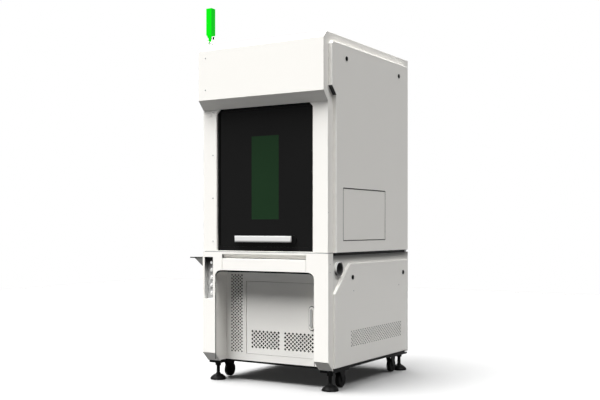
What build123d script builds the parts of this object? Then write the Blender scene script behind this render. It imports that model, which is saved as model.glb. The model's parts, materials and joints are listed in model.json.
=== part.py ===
"""A free-standing laser decapsulation cabinet, in millimetres.

Lengths are given in the cabinet's own directions: x to the right from the middle of the front, y to the
rear from the face of the upper front frame, z up from the floor. The three plane functions carry them into
the model's frame, whose origin is on the floor under the middle of the whole machine.
"""

from build123d import *
import os

# Cabinet
BODY_WIDTH = 780.0
BODY_DEPTH = 950.0
ROOF_Z = 1815.0
SHEET = 3.0
FLANGE = 50.0
REAR_FLANGE = 20.0
GAP_LINE = 1.5
EASY = 0.3
RUNNING = 0.06

# Levels
BASE_Z = 102.0
BASE_THICK = 16.0
BODY_BOTTOM_Z = 108.0
LOWER_TOP_Z = 692.0
DECK_THICK = 14.0
DECK_INSET = 8.0
FRAME_TOP_Z = 702.0

# Knee space and toe
KNEE_WIDTH = 621.0
KNEE_TOP_Z = 604.0
KNEE_RADIUS = 37.0
RECESS_Y = 105.0
RECESS_BOTTOM_Z = 112.5
FRAME_PROUD = 3.0
FRAME_RETURN = 49.0
TOE_Z = 156.0

# Hood and door opening
HOOD_OUT = 44.0
HOOD_Z = 1517.5
SOFFIT_Z = 1468.0
HOOD_CHAMFER_OUT = 30.5
HOOD_CHAMFER_DROP = 31.0
OPENING_WIDTH = 602.5
OPENING_CORNER = 20.0
JAMB_Y = 14.0

# Lift door
DOOR_WIDTH = 644.0
DOOR_FRONT_Y = 15.0
DOOR_THICK = 16.0
DOOR_LAP = 21.0
PANE_WIDTH = 576.0
PANE_BOTTOM_BORDER = 23.0
PANE_TOP_BORDER = 12.0
PANE_LAP = 8.0
DOOR_ROOM = 10.0
PANE_THICK = 6.0
PANE_LIP = 3.0
RAIL_WIDTH = 18.0
RAIL_GROOVE = 10.0
RAIL_WALL = 3.0

# Door handle
HANDLE_LENGTH = 352.0
HANDLE_HEIGHT = 33.0
HANDLE_THICK = 8.0
HANDLE_MID_Z = 772.5
HANDLE_FRONT_Y = -10.0
STRIP_LENGTH = 392.0
STRIP_HEIGHT = 40.0
STRIP_THICK = 6.0
POST_WIDTH = 14.0
POST_INSET = 3.0
HANDLE_ROUND = 2.5

# Drawer
DRAWER_WIDTH = 524.0
DRAWER_TOP_Z = 668.0
DRAWER_FRONT_THICK = 16.0
SCOOP_Z = 671.0
SCOOP_DEPTH = 15.0
SCOOP_FULLNESS = 0.62
TRAY_WIDTH = 500.0
TRAY_LENGTH = 400.0
RUNNER_PAST_TRAY = 20.0
RUNNER_SPACE = 2.0
TRAY_FLOOR_Z = 612.0
TRAY_TOP_Z = 658.0
TRAY_WALL = 2.0
RIB_OUT = 5.0
RIB_HEIGHT = 8.0
RIB_Z = 640.0
RUNNER_THICK = 11.0
RUNNER_BOTTOM_Z = 624.0

# Button panel
POCKET_WIDTH = 57.0
POCKET_MID_X = -352.5
POCKET_BOTTOM_Z = 448.0
POCKET_TOP_Z = 674.0
POCKET_FLOOR_Y = 27.0
POCKET_WALL = 2.0
BUTTON_COUNT = 5
BUTTON_PITCH = 41.5
BUTTON_MID_Z = 560.0
BUTTON_RADIUS = 8.0
BUTTON_FACE_Y = 20.0
BUTTON_LENGTH = 22.0
BEZEL_RADIUS = 12.5
BEZEL_HEIGHT = 5.0

# Cabinet door and its perforated fields
HATCH_DOOR_LEFT = -179.0
HATCH_DOOR_RIGHT = 278.0
HATCH_DOOR_BOTTOM = 151.5
HATCH_DOOR_TOP = 541.5
HATCH_DOOR_DEPTH = 20.0
HATCH_DOOR_SHEET = 2.0
HINGE_RADIUS = 4.0
PIN_RADIUS = 2.5
REVEAL_DEPTH = 22.0
STOP_LAP = 10.0
VENT_PITCH_X = 24.0
VENT_PITCH_Z = 21.0
VENT_HOLE_RADIUS = 8.0
VENT_COLUMNS = 8
VENT_ROWS = 5
VENT_MID_Z = 231.5
VENT_LEFT_X = -55.5
VENT_RIGHT_X = 154.0
STRIP_PANEL_LEFT = -292.5
STRIP_PANEL_RIGHT = -192.5
STRIP_PANEL_BOTTOM = 140.0
STRIP_PANEL_TOP = 594.0
STRIP_PITCH_X = 22.0
STRIP_PITCH_Z = 18.0
STRIP_HOLE_RADIUS = 6.5
STRIP_COLUMNS = 4
STRIP_ROWS = 24

# Lock of the cabinet door
LOCK_X = 235.0
LOCK_MID_Z = 361.0
LOCK_WIDTH = 30.0
LOCK_HEIGHT = 120.0
LOCK_THICK = 6.0
LEVER_PIVOT_Z = 325.0
LEVER_LENGTH = 84.0
LEVER_WIDTH = 14.0
LEVER_THICK = 6.0
LEVER_ROUND = 1.5
LEVER_BOSS = 10.0
LOCK_PIN_RADIUS = 4.0
LOCK_PIN_TAIL = 6.0

# Side panels: depth out from the body and outline in y and z
UPPER_PANEL_OUT = 22.0
UPPER_PANEL_FRONT_Y = 3.0
UPPER_PANEL_NOTCH_Y = 48.0
UPPER_PANEL_NOTCH_Z = 1546.0
UPPER_PANEL_REAR_Y = 899.0
UPPER_PANEL_BOTTOM_Z = 704.5
UPPER_PANEL_TOP_Z = 1769.0
UPPER_PANEL_CORNER = 14.0
LOWER_PANEL_OUT = 15.0
LOWER_PANEL_FRONT_Y = 46.0
LOWER_PANEL_REAR_Y = 910.0
LOWER_PANEL_BOTTOM_Z = 120.0
LOWER_PANEL_TOP_Z = 647.0
LOWER_PANEL_CUT_Y = 209.0
LOWER_PANEL_CUT_Z = 496.0
PANEL_SHEET = 2.5
PANEL_ROUND = 3.5
SIDE_VENT_FRONT_Y = 211.0
SIDE_VENT_REAR_Y = 833.0
SIDE_VENT_MID_Z = 254.0
SIDE_VENT_COLUMNS = 24
SIDE_VENT_ROWS = 5
SIDE_VENT_PITCH_Z = 19.0
SIDE_HOLE_RADIUS = 6.5
LATCH_RADIUS = 12.0
LATCH_OUT = 4.0
LATCH_SHAFT = 5.0
LATCH_CAM_LENGTH = 26.0
LATCH_CAM_THICK = 3.0
UPPER_LATCHES = ((154.7, 1699.6), (779.0, 1698.7))
LOWER_LATCHES = ((234.2, 574.2), (852.0, 575.6))

# Access hatch in the upper right panel
HATCH_FRONT_Y = 120.5
HATCH_REAR_Y = 601.4
HATCH_BOTTOM_Z = 768.5
HATCH_TOP_Z = 1032.0
HATCH_SHEET = 3.0
HATCH_LAP = 12.0

# Fume port
PORT_Y = 100.0
PORT_Z = 623.0
PORT_OUTER = 36.7
PORT_BORE = 31.5
PORT_OUT = 12.0
PORT_FLANGE = 4.0
PORT_SLEEVE = 30.0

# Side shelf
SHELF_OUT = 94.0
SHELF_Z = 667.0
SHELF_THICK = 5.0
SHELF_FRONT_Y = 6.0
SHELF_REAR_Y = 160.0
GUSSET_REACH = 62.0
GUSSET_DROP = 50.0
GUSSET_SHEET = 2.5

# Signal lamp
LAMP_X = -353.0
LAMP_Y = 16.0
LAMP_SIZE = 30.0
LAMP_TAPER = 8.0
LAMP_ROUND = 3.0
LAMP_TOP_Z = 2023.0
LAMP_BODY_Z = 1877.0
LAMP_SHOULDER_Z = 1862.5
LAMP_PIVOT_Z = 1853.0
LAMP_KNUCKLE = 8.5
LAMP_KNUCKLE_WIDTH = 18.0
LAMP_EAR = 5.0
LAMP_EAR_RADIUS = 8.5
LAMP_BASE_HEIGHT = 10.0
LAMP_BASE_WIDTH = 38.0
LAMP_PIN_RADIUS = 3.0

# Industrial computer
PC_WIDTH = 430.0
PC_DEPTH = 450.0
PC_HEIGHT = 178.0
PC_FRONT_Y = 260.0
PC_EAR = 26.0
PC_PANEL = 4.0

# Feet and casters
CROSS_RAIL = 40.0
FOOT_X = 353.5
FOOT_FRONT_Y = 86.0
FOOT_REAR_Y = 906.5
FOOT_RADIUS = 43.0
FOOT_RIM = 8.0
FOOT_BULGE = 12.0
FOOT_DOME_Z = 30.0
FOOT_CONE = 8.0
FOOT_NECK = 15.0
STUD_RADIUS = 9.5
NUT_ACROSS = 30.0
NUT_HEIGHT = 17.0
PAD_THICK = 8.0
CASTER_X = 353.0
CASTER_FRONT_Y = 183.0
CASTER_REAR_Y = 788.0
CASTER_TRAIL = 12.0
WHEEL_RADIUS = 38.0
WHEEL_WIDTH = 24.0
WHEEL_CLEAR = 4.0
AXLE_RADIUS = 5.0
FORK_SHEET = 4.0
FORK_CROWN = 22.0
KINGPIN_RADIUS = 7.0

# Work stage and laser head
STAGE_Y = 450.0
STAGE_RAIL = 15.0
STAGE_RAIL_HEIGHT = 12.0
STAGE_RAIL_SPREAD = 120.0
STAGE_Y_TRAVEL = 90.0
STAGE_X_TRAVEL = 50.0
SLIDE_THICK = 14.0
SLIDE_SIZE = 150.0
BLOCK_WALL = 8.0
JIG_SIZE = 100.0
JIG_ROUND = 6.0
JIG_THICK = 12.0
COLUMN_WIDTH = 140.0
COLUMN_DEPTH = 120.0
COLUMN_FRONT_Y = 640.0
COLUMN_TOP_Z = 1560.0
COLUMN_RAIL_SPREAD = 90.0
CARRIAGE_Z = 1150.0
CARRIAGE_HEIGHT = 180.0
ARM_REACH = 300.0
ARM_THICK = 15.0
HEAD_SIZE = 110.0
HEAD_CHAMFER = 12.0
LENS_RADIUS = 42.0
LENS_LENGTH = 46.0
LASER_WIDTH = 100.0
LASER_HEIGHT = 100.0
LASER_LENGTH = 190.0

# Sizes that follow
HALF = BODY_WIDTH / 2
INNER = HALF - SHEET
KNEE_HALF = KNEE_WIDTH / 2
DECK_Z = LOWER_TOP_Z + DECK_THICK
BASE_TOP_Z = BASE_Z + BASE_THICK
PAD_Z = BASE_Z - PAD_THICK
SILL_Z = DECK_Z + SHEET
OPENING_HALF = OPENING_WIDTH / 2
DOOR_HALF = DOOR_WIDTH / 2
PANE_REACH = PANE_WIDTH / 2 + PANE_LAP
PC_FLOOR_Z = BASE_TOP_Z + SHEET
DOOR_BACK_Y = DOOR_FRONT_Y + DOOR_THICK
DOOR_TOP_Z = SOFFIT_Z + DOOR_LAP
TOE_DROP = TOE_Z - BODY_BOTTOM_Z
LEFTMOST = -(HALF + FRAME_PROUD + SHELF_OUT)
RIGHTMOST = HALF + UPPER_PANEL_OUT + LATCH_OUT
MIDDLE_X = (LEFTMOST + RIGHTMOST) / 2
MIDDLE_Y = (BODY_DEPTH - HOOD_OUT) / 2


def top(z):
    """Plane at height z: sketches in x and y, pieces rise from it."""
    return Plane(origin=(-MIDDLE_X, -MIDDLE_Y, z))


def front(y):
    """Plane at depth y: sketches in x and z, pieces come forward from it."""
    return Plane(origin=(-MIDDLE_X, y - MIDDLE_Y, 0), x_dir=(1, 0, 0), z_dir=(0, -1, 0))


def side(x):
    """Plane at x: sketches in y and z, pieces grow to the right from it."""
    return Plane(origin=(x - MIDDLE_X, -MIDDLE_Y, 0), x_dir=(0, 1, 0), z_dir=(1, 0, 0))


def upright(x, y):
    """Plane through a vertical axis at x and y: sketches in radius and height."""
    return Plane(origin=(x - MIDDLE_X, y - MIDDLE_Y, 0), x_dir=(1, 0, 0), z_dir=(0, -1, 0))


def span(left, right, low, high, mode=Mode.ADD):
    """Rectangle given by its edges, in the sketch that is open."""
    with Locations(((left + right) / 2, (low + high) / 2)):
        Rectangle(right - left, high - low, mode=mode)


def quincunx(pitch_u, pitch_v, columns, rows, radius, mode=Mode.SUBTRACT):
    """Staggered field of square holes that stand on their corners."""
    with GridLocations(pitch_u, pitch_v, columns, rows):
        RegularPolygon(radius, 4, mode=mode)
    with GridLocations(pitch_u, pitch_v, columns - 1, rows - 1):
        RegularPolygon(radius, 4, mode=mode)


def save(piece, name):
    """Label one finished piece and write it to its STEP file."""
    piece.part.label = name
    export_step(piece.part, f"parts/{name}.step")


os.makedirs("parts", exist_ok=True)

# Base frame: side rails on mounting plates, joined by two cross rails
RAIL_OUTER_X = HALF - 2
RAIL_INNER_X = KNEE_HALF + SHEET + EASY
CROSS_FRONT_Y = RECESS_Y + SHEET
BASE_FRONT_Y = TOE_Z - FRAME_PROUD + SHEET * 2 ** 0.5 - BODY_BOTTOM_Z + EASY
BASE_REAR_Y = 905.0
PAD_FRONT = (BASE_FRONT_Y + 2, CASTER_FRONT_Y + 42)
PAD_REAR = (CASTER_REAR_Y - 42, FOOT_REAR_Y + 36)
with BuildPart() as base_frame:
    with BuildSketch(top(BASE_Z)):
        for sign in (-1, 1):
            span(*sorted((sign * RAIL_INNER_X, sign * RAIL_OUTER_X)), BASE_FRONT_Y, BASE_REAR_Y)
        span(-RAIL_OUTER_X, RAIL_OUTER_X, CROSS_FRONT_Y, CROSS_FRONT_Y + CROSS_RAIL)
        span(-RAIL_OUTER_X, RAIL_OUTER_X, BASE_REAR_Y - CROSS_RAIL, BASE_REAR_Y)
    extrude(amount=BASE_THICK)
    with BuildSketch(top(PAD_Z)):
        for sign in (-1, 1):
            for pad in (PAD_FRONT, PAD_REAR):
                span(*sorted((sign * RAIL_INNER_X, sign * RAIL_OUTER_X)), *pad)
    extrude(amount=PAD_THICK)
    with BuildSketch(top(PAD_Z)):
        with Locations(*[(sx * FOOT_X, y) for sx in (-1, 1) for y in (FOOT_FRONT_Y, FOOT_REAR_Y)]):
            Circle(STUD_RADIUS + EASY)
    extrude(amount=PAD_THICK + BASE_THICK, mode=Mode.SUBTRACT)
    with BuildSketch(top(PAD_Z)):
        with Locations(*[(sx * CASTER_X, y) for sx in (-1, 1) for y in (CASTER_FRONT_Y, CASTER_REAR_Y)]):
            Circle(KINGPIN_RADIUS + RUNNING)
    extrude(amount=PAD_THICK + BASE_THICK / 2, mode=Mode.SUBTRACT)
save(base_frame, "base_frame")

# Lower cabinet body: floor, side walls, inner front wall and top flange
SIDE_TOE_Z = TOE_Z - FRAME_PROUD + SHEET * 2 ** 0.5
DRAWER_SLOT_HALF = DRAWER_WIDTH / 2 + GAP_LINE
HATCH_LEFT = HATCH_DOOR_LEFT - GAP_LINE
HATCH_RIGHT = HATCH_DOOR_RIGHT + GAP_LINE
HATCH_LOW = HATCH_DOOR_BOTTOM - GAP_LINE
HATCH_HIGH = HATCH_DOOR_TOP + GAP_LINE
DOOR_PIN = (HATCH_DOOR_LEFT + HINGE_RADIUS, RECESS_Y + HINGE_RADIUS)
with BuildPart() as lower_cabinet_body:
    for x in (-HALF, INNER):
        with BuildSketch(side(x)):
            with BuildLine():
                Polyline(
                    (0, LOWER_TOP_Z),
                    (0, SIDE_TOE_Z),
                    (SIDE_TOE_Z - BODY_BOTTOM_Z - 1, BODY_BOTTOM_Z + 1),
                    (BASE_FRONT_Y, BASE_TOP_Z),
                    (BASE_REAR_Y, BASE_TOP_Z),
                    (BASE_REAR_Y, BODY_BOTTOM_Z),
                    (BODY_DEPTH, BODY_BOTTOM_Z),
                    (BODY_DEPTH, LOWER_TOP_Z),
                    close=True,
                )
            make_face()
        extrude(amount=SHEET)
    with BuildSketch(top(BASE_TOP_Z)):
        span(-INNER, INNER, RECESS_Y + SHEET, BODY_DEPTH - SHEET)
    extrude(amount=SHEET)
    with BuildSketch(front(BODY_DEPTH - SHEET)):
        span(-INNER, INNER, BASE_TOP_Z, LOWER_TOP_Z)
        span(-INNER + REAR_FLANGE, INNER - REAR_FLANGE, BASE_TOP_Z + REAR_FLANGE, LOWER_TOP_Z - REAR_FLANGE,
             mode=Mode.SUBTRACT)
    extrude(amount=SHEET)
    with BuildSketch(top(LOWER_TOP_Z - SHEET)):
        span(-INNER, INNER, SHEET, BODY_DEPTH - SHEET)
        span(-INNER + FLANGE, INNER - FLANGE, SHEET, BODY_DEPTH - SHEET - FLANGE, mode=Mode.SUBTRACT)
    extrude(amount=SHEET)
    with BuildSketch(front(RECESS_Y + SHEET)):
        span(-INNER, INNER, BASE_TOP_Z, LOWER_TOP_Z)
        span(-KNEE_HALF - SHEET, KNEE_HALF + SHEET, RECESS_BOTTOM_Z, BASE_TOP_Z)
        span(-DRAWER_SLOT_HALF, DRAWER_SLOT_HALF, KNEE_TOP_Z, LOWER_TOP_Z, mode=Mode.SUBTRACT)
        span(STRIP_PANEL_LEFT, STRIP_PANEL_RIGHT, STRIP_PANEL_BOTTOM, STRIP_PANEL_TOP, mode=Mode.SUBTRACT)
    extrude(amount=SHEET)
    with BuildSketch(front(RECESS_Y + REVEAL_DEPTH)):
        span(HATCH_LEFT - SHEET, HATCH_RIGHT + SHEET, HATCH_LOW - SHEET, HATCH_HIGH + SHEET)
    extrude(amount=REVEAL_DEPTH)
    with BuildSketch(front(RECESS_Y + REVEAL_DEPTH)):
        span(HATCH_LEFT, HATCH_RIGHT, HATCH_LOW, HATCH_HIGH)
    extrude(amount=REVEAL_DEPTH, mode=Mode.SUBTRACT)
    with BuildSketch(front(RECESS_Y + REVEAL_DEPTH)):
        span(HATCH_RIGHT - STOP_LAP, HATCH_RIGHT, HATCH_LOW, HATCH_HIGH)
    extrude(amount=REVEAL_DEPTH - HATCH_DOOR_DEPTH - EASY)
    with BuildSketch(top(HATCH_LOW - SHEET)):
        with Locations(DOOR_PIN):
            Circle(PIN_RADIUS + RUNNING)
    extrude(amount=HATCH_HIGH - HATCH_LOW + 2 * SHEET, mode=Mode.SUBTRACT)
    with BuildSketch(side(HALF - PORT_SLEEVE)):
        with Locations((PORT_Y, PORT_Z)):
            Circle(PORT_BORE + PORT_FLANGE)
    extrude(amount=PORT_SLEEVE, mode=Mode.SUBTRACT)
save(lower_cabinet_body, "lower_cabinet_body")

# Perforated strip beside the cabinet door
with BuildPart() as vent_strip:
    with BuildSketch(front(RECESS_Y + SHEET)):
        strip_middle = (STRIP_PANEL_LEFT + STRIP_PANEL_RIGHT) / 2, (STRIP_PANEL_BOTTOM + STRIP_PANEL_TOP) / 2
        with Locations(strip_middle):
            Rectangle(STRIP_PANEL_RIGHT - STRIP_PANEL_LEFT, STRIP_PANEL_TOP - STRIP_PANEL_BOTTOM)
            quincunx(STRIP_PITCH_X, STRIP_PITCH_Z, STRIP_COLUMNS, STRIP_ROWS, STRIP_HOLE_RADIUS)
    extrude(amount=SHEET)
save(vent_strip, "vent_strip")

# Lower front frame: face sheet with toe, knee opening, drawer slot with finger scoop, and side returns
FRAME_HALF = HALF + FRAME_PROUD
TOE_LINE = TOE_Z - FRAME_PROUD
with BuildPart() as lower_front_frame:
    with BuildSketch(side(-FRAME_HALF)):
        with BuildLine():
            Polyline(
                (-FRAME_PROUD, FRAME_TOP_Z),
                (-FRAME_PROUD, TOE_Z),
                (TOE_LINE - BODY_BOTTOM_Z, BODY_BOTTOM_Z),
                (SIDE_TOE_Z - BODY_BOTTOM_Z, BODY_BOTTOM_Z),
                (0, SIDE_TOE_Z),
                (0, FRAME_TOP_Z),
                close=True,
            )
        make_face()
    extrude(amount=2 * FRAME_HALF)
    with BuildSketch(front(RECESS_Y)) as knee:
        span(-KNEE_HALF, KNEE_HALF, 0, KNEE_TOP_Z)
        fillet(knee.vertices().group_by(Axis.Y)[-1], radius=KNEE_RADIUS)
    extrude(amount=RECESS_Y + 2 * FRAME_PROUD, mode=Mode.SUBTRACT)
    with BuildSketch(front(RECESS_Y)):
        span(-DRAWER_SLOT_HALF, DRAWER_SLOT_HALF, KNEE_TOP_Z - KNEE_RADIUS, LOWER_TOP_Z)
    extrude(amount=RECESS_Y + 2 * FRAME_PROUD, mode=Mode.SUBTRACT)
    with BuildSketch(front(RECESS_Y)):
        add(knee.sketch_local)
        offset(amount=SHEET, kind=Kind.INTERSECTION)
        add(knee.sketch_local, mode=Mode.SUBTRACT)
        span(-DRAWER_SLOT_HALF, DRAWER_SLOT_HALF, 0, LOWER_TOP_Z, mode=Mode.SUBTRACT)
        span(-HALF, HALF, -2 * KNEE_RADIUS, RECESS_BOTTOM_Z, mode=Mode.SUBTRACT)
    extrude(amount=RECESS_Y)
    for x in (-FRAME_HALF, HALF):
        with BuildSketch(side(x)):
            span(-FRAME_PROUD, FRAME_RETURN - FRAME_PROUD, BODY_BOTTOM_Z, FRAME_TOP_Z)
        extrude(amount=FRAME_PROUD)
    with BuildSketch(side(-FRAME_HALF)):
        with BuildLine():
            Polyline(
                (TOE_LINE - BODY_BOTTOM_Z, BODY_BOTTOM_Z),
                (-FRAME_PROUD, TOE_Z),
                (-FRAME_PROUD - TOE_DROP, TOE_Z),
                (-FRAME_PROUD - TOE_DROP, 0),
                (TOE_LINE - BODY_BOTTOM_Z, 0),
                close=True,
            )
        make_face()
    extrude(amount=2 * FRAME_HALF, mode=Mode.SUBTRACT)
    with BuildSketch(front(RECESS_Y)):
        with Locations((POCKET_MID_X, (POCKET_BOTTOM_Z + POCKET_TOP_Z) / 2)):
            Rectangle(POCKET_WIDTH, POCKET_TOP_Z - POCKET_BOTTOM_Z)
    extrude(amount=RECESS_Y + 2 * FRAME_PROUD, mode=Mode.SUBTRACT)
    with BuildSketch(side(-DRAWER_SLOT_HALF)):
        with BuildLine():
            l1 = ThreePointArc(
                (-FRAME_PROUD, LOWER_TOP_Z),
                (SCOOP_DEPTH * SCOOP_FULLNESS, (LOWER_TOP_Z + SCOOP_Z) / 2 + SHEET),
                (SCOOP_DEPTH, SCOOP_Z),
            )
            Polyline(l1 @ 1, (SCOOP_DEPTH + SHEET, SCOOP_Z), (SCOOP_DEPTH + SHEET, LOWER_TOP_Z), l1 @ 0)
        make_face()
    extrude(amount=2 * DRAWER_SLOT_HALF)
save(lower_front_frame, "lower_front_frame")

# Button panel: a tray set into the left leg, with a bezel round each button
BUTTON_HEIGHTS = [BUTTON_MID_Z + (i - (BUTTON_COUNT - 1) / 2) * BUTTON_PITCH for i in range(BUTTON_COUNT)]
POCKET_HEIGHT = POCKET_TOP_Z - POCKET_BOTTOM_Z
POCKET_MID_Z = (POCKET_TOP_Z + POCKET_BOTTOM_Z) / 2
with BuildPart() as button_panel:
    with BuildSketch(front(POCKET_FLOOR_Y + POCKET_WALL)):
        with Locations((POCKET_MID_X, POCKET_MID_Z)):
            Rectangle(POCKET_WIDTH + 2 * POCKET_WALL, POCKET_HEIGHT + 2 * POCKET_WALL)
    extrude(amount=POCKET_FLOOR_Y + POCKET_WALL)
    with BuildSketch(front(POCKET_FLOOR_Y)):
        with Locations((POCKET_MID_X, POCKET_MID_Z)):
            Rectangle(POCKET_WIDTH, POCKET_HEIGHT)
    extrude(amount=POCKET_FLOOR_Y, mode=Mode.SUBTRACT)
    with BuildSketch(front(POCKET_FLOOR_Y)):
        with Locations(*[(POCKET_MID_X, z) for z in BUTTON_HEIGHTS]):
            Circle(BEZEL_RADIUS)
    extrude(amount=BEZEL_HEIGHT)
    with BuildSketch(front(POCKET_FLOOR_Y + POCKET_WALL)):
        with Locations(*[(POCKET_MID_X, z) for z in BUTTON_HEIGHTS]):
            Circle(BUTTON_RADIUS + RUNNING)
    extrude(amount=POCKET_FLOOR_Y, mode=Mode.SUBTRACT)
save(button_panel, "button_panel")

# Push buttons, numbered from the lowest
for number, z in enumerate(BUTTON_HEIGHTS, start=1):
    with BuildPart() as push_button:
        with BuildSketch(front(BUTTON_FACE_Y + BUTTON_LENGTH)):
            with Locations((POCKET_MID_X, z)):
                Circle(BUTTON_RADIUS)
        extrude(amount=BUTTON_LENGTH)
        chamfer(push_button.faces().sort_by(Axis.Y)[0].edges(), length=1)
    save(push_button, f"push_button_{number}")

# Fume port: a flanged sleeve through the right wall
with BuildPart() as fume_port:
    with BuildSketch(side(HALF)):
        with Locations((PORT_Y, PORT_Z)):
            Circle(PORT_OUTER)
    extrude(amount=PORT_OUT)
    with BuildSketch(side(HALF - PORT_SLEEVE)):
        with Locations((PORT_Y, PORT_Z)):
            Circle(PORT_BORE + PORT_FLANGE)
    extrude(amount=PORT_SLEEVE)
    with BuildSketch(side(HALF - PORT_SLEEVE)):
        with Locations((PORT_Y, PORT_Z)):
            Circle(PORT_BORE)
    extrude(amount=PORT_SLEEVE + PORT_OUT, mode=Mode.SUBTRACT)
save(fume_port, "fume_port")

# Side shelf: a plate with a turned-down lip on two folded gussets
with BuildPart() as side_shelf:
    with BuildSketch(front(SHELF_REAR_Y)):
        span(-HALF - FRAME_PROUD - SHELF_OUT, -HALF - FRAME_PROUD, SHELF_Z, SHELF_Z + SHELF_THICK)
    extrude(amount=SHELF_REAR_Y - SHELF_FRONT_Y)
    for y in (SHELF_FRONT_Y + GUSSET_SHEET, SHELF_REAR_Y):
        with BuildSketch(front(y)):
            with BuildLine():
                Polyline(
                    (-HALF - FRAME_PROUD, SHELF_Z),
                    (-HALF - FRAME_PROUD - GUSSET_REACH, SHELF_Z),
                    (-HALF - FRAME_PROUD, SHELF_Z - GUSSET_DROP),
                    close=True,
                )
            make_face()
        extrude(amount=GUSSET_SHEET)
save(side_shelf, "side_shelf")

# Work table: the steel plate between the two cabinets, with the rails of the stage
with BuildPart() as work_table:
    with BuildSketch(top(LOWER_TOP_Z)):
        span(-HALF + DECK_INSET, HALF - DECK_INSET, SHEET, BODY_DEPTH - SHEET)
    extrude(amount=DECK_THICK)
    with BuildSketch(top(DECK_Z)):
        for sign in (-1, 1):
            with Locations((sign * STAGE_RAIL_SPREAD / 2, STAGE_Y)):
                Rectangle(STAGE_RAIL, SLIDE_SIZE + 2 * STAGE_Y_TRAVEL)
    extrude(amount=STAGE_RAIL_HEIGHT)
save(work_table, "work_table")

# Upper cabinet body: side walls, roof, bottom flange and rear flange
HATCH_HOLE_Y = (HATCH_FRONT_Y + HATCH_LAP, HATCH_REAR_Y - HATCH_LAP)
HATCH_HOLE_Z = (HATCH_BOTTOM_Z + HATCH_LAP, HATCH_TOP_Z - HATCH_LAP)
with BuildPart() as upper_cabinet_body:
    for x in (-HALF, INNER):
        with BuildSketch(side(x)):
            span(SHEET, BODY_DEPTH, DECK_Z, ROOF_Z)
        extrude(amount=SHEET)
    with BuildSketch(top(ROOF_Z - SHEET)):
        span(-INNER, INNER, SHEET, BODY_DEPTH)
    extrude(amount=SHEET)
    with BuildSketch(top(DECK_Z)):
        span(-INNER, INNER, DOOR_BACK_Y + DOOR_ROOM, BODY_DEPTH - SHEET)
        span(-INNER + FLANGE, INNER - FLANGE, 0, BODY_DEPTH - SHEET - FLANGE, mode=Mode.SUBTRACT)
    extrude(amount=SHEET)
    with BuildSketch(front(BODY_DEPTH - SHEET)):
        span(-INNER, INNER, DECK_Z, ROOF_Z - SHEET)
        span(-INNER + REAR_FLANGE, INNER - REAR_FLANGE, DECK_Z + REAR_FLANGE, ROOF_Z - SHEET - REAR_FLANGE,
             mode=Mode.SUBTRACT)
    extrude(amount=SHEET)
    with BuildSketch(side(INNER)):
        span(*HATCH_HOLE_Y, *HATCH_HOLE_Z)
    extrude(amount=SHEET, mode=Mode.SUBTRACT)
save(upper_cabinet_body, "upper_cabinet_body")

# Upper front frame: two stiles, a sill and the jamb round the door opening
with BuildPart() as upper_front_frame:
    with BuildSketch(front(SHEET)):
        span(-HALF, HALF, DECK_Z, SOFFIT_Z)
    extrude(amount=SHEET)
    with BuildSketch(front(JAMB_Y)) as opening:
        span(-OPENING_HALF, OPENING_HALF, SILL_Z, SOFFIT_Z)
        chamfer(opening.vertices().group_by(Axis.Y)[-1], length=OPENING_CORNER)
    extrude(amount=JAMB_Y, mode=Mode.SUBTRACT)
    with BuildSketch(front(JAMB_Y)):
        add(opening.sketch_local)
        offset(amount=SHEET, kind=Kind.INTERSECTION)
        add(opening.sketch_local, mode=Mode.SUBTRACT)
        span(-HALF, HALF, SOFFIT_Z, ROOF_Z, mode=Mode.SUBTRACT)
    extrude(amount=JAMB_Y)
    with BuildSketch(front(DOOR_BACK_Y + 2)):
        span(-OPENING_HALF - SHEET, OPENING_HALF + SHEET, DECK_Z, SILL_Z)
    extrude(amount=DOOR_BACK_Y + 2)
save(upper_front_frame, "upper_front_frame")

# Hood: a folded cap over the door opening, open to the rear
with BuildPart() as front_hood:
    with BuildSketch(side(-HALF)):
        with BuildLine():
            Polyline(
                (SHEET, SOFFIT_Z),
                (0, SOFFIT_Z),
                (-HOOD_OUT, HOOD_Z),
                (-HOOD_OUT, ROOF_Z - HOOD_CHAMFER_DROP),
                (HOOD_CHAMFER_OUT - HOOD_OUT, ROOF_Z),
                (SHEET, ROOF_Z),
                close=True,
            )
        make_face()
    extrude(amount=BODY_WIDTH)
    with BuildSketch(side(-INNER)):
        with BuildLine():
            Polyline(
                (4 * SHEET, SOFFIT_Z),
                (0, SOFFIT_Z),
                (-HOOD_OUT, HOOD_Z),
                (-HOOD_OUT, ROOF_Z - HOOD_CHAMFER_DROP),
                (HOOD_CHAMFER_OUT - HOOD_OUT, ROOF_Z),
                (4 * SHEET, ROOF_Z),
                close=True,
            )
        make_face()
        offset(amount=-SHEET, kind=Kind.INTERSECTION)
    extrude(amount=2 * INNER, mode=Mode.SUBTRACT)
save(front_hood, "front_hood")

# Guide rails of the lift door, one channel at each side
with BuildPart() as door_guide_rails:
    with BuildSketch(top(SILL_Z)):
        for sign in (-1, 1):
            groove_end = DOOR_HALF + EASY
            rail_start = groove_end - RAIL_GROOVE
            outer = sorted((sign * rail_start, sign * (rail_start + RAIL_WIDTH)))
            span(*outer, SHEET, DOOR_BACK_Y + EASY + RAIL_WALL)
            inner = sorted((sign * (groove_end - 2 * RAIL_GROOVE), sign * groove_end))
            span(*inner, DOOR_FRONT_Y - EASY, DOOR_BACK_Y + EASY, mode=Mode.SUBTRACT)
    extrude(amount=ROOF_Z - SHEET - SILL_Z)
save(door_guide_rails, "door_guide_rails")

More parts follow.
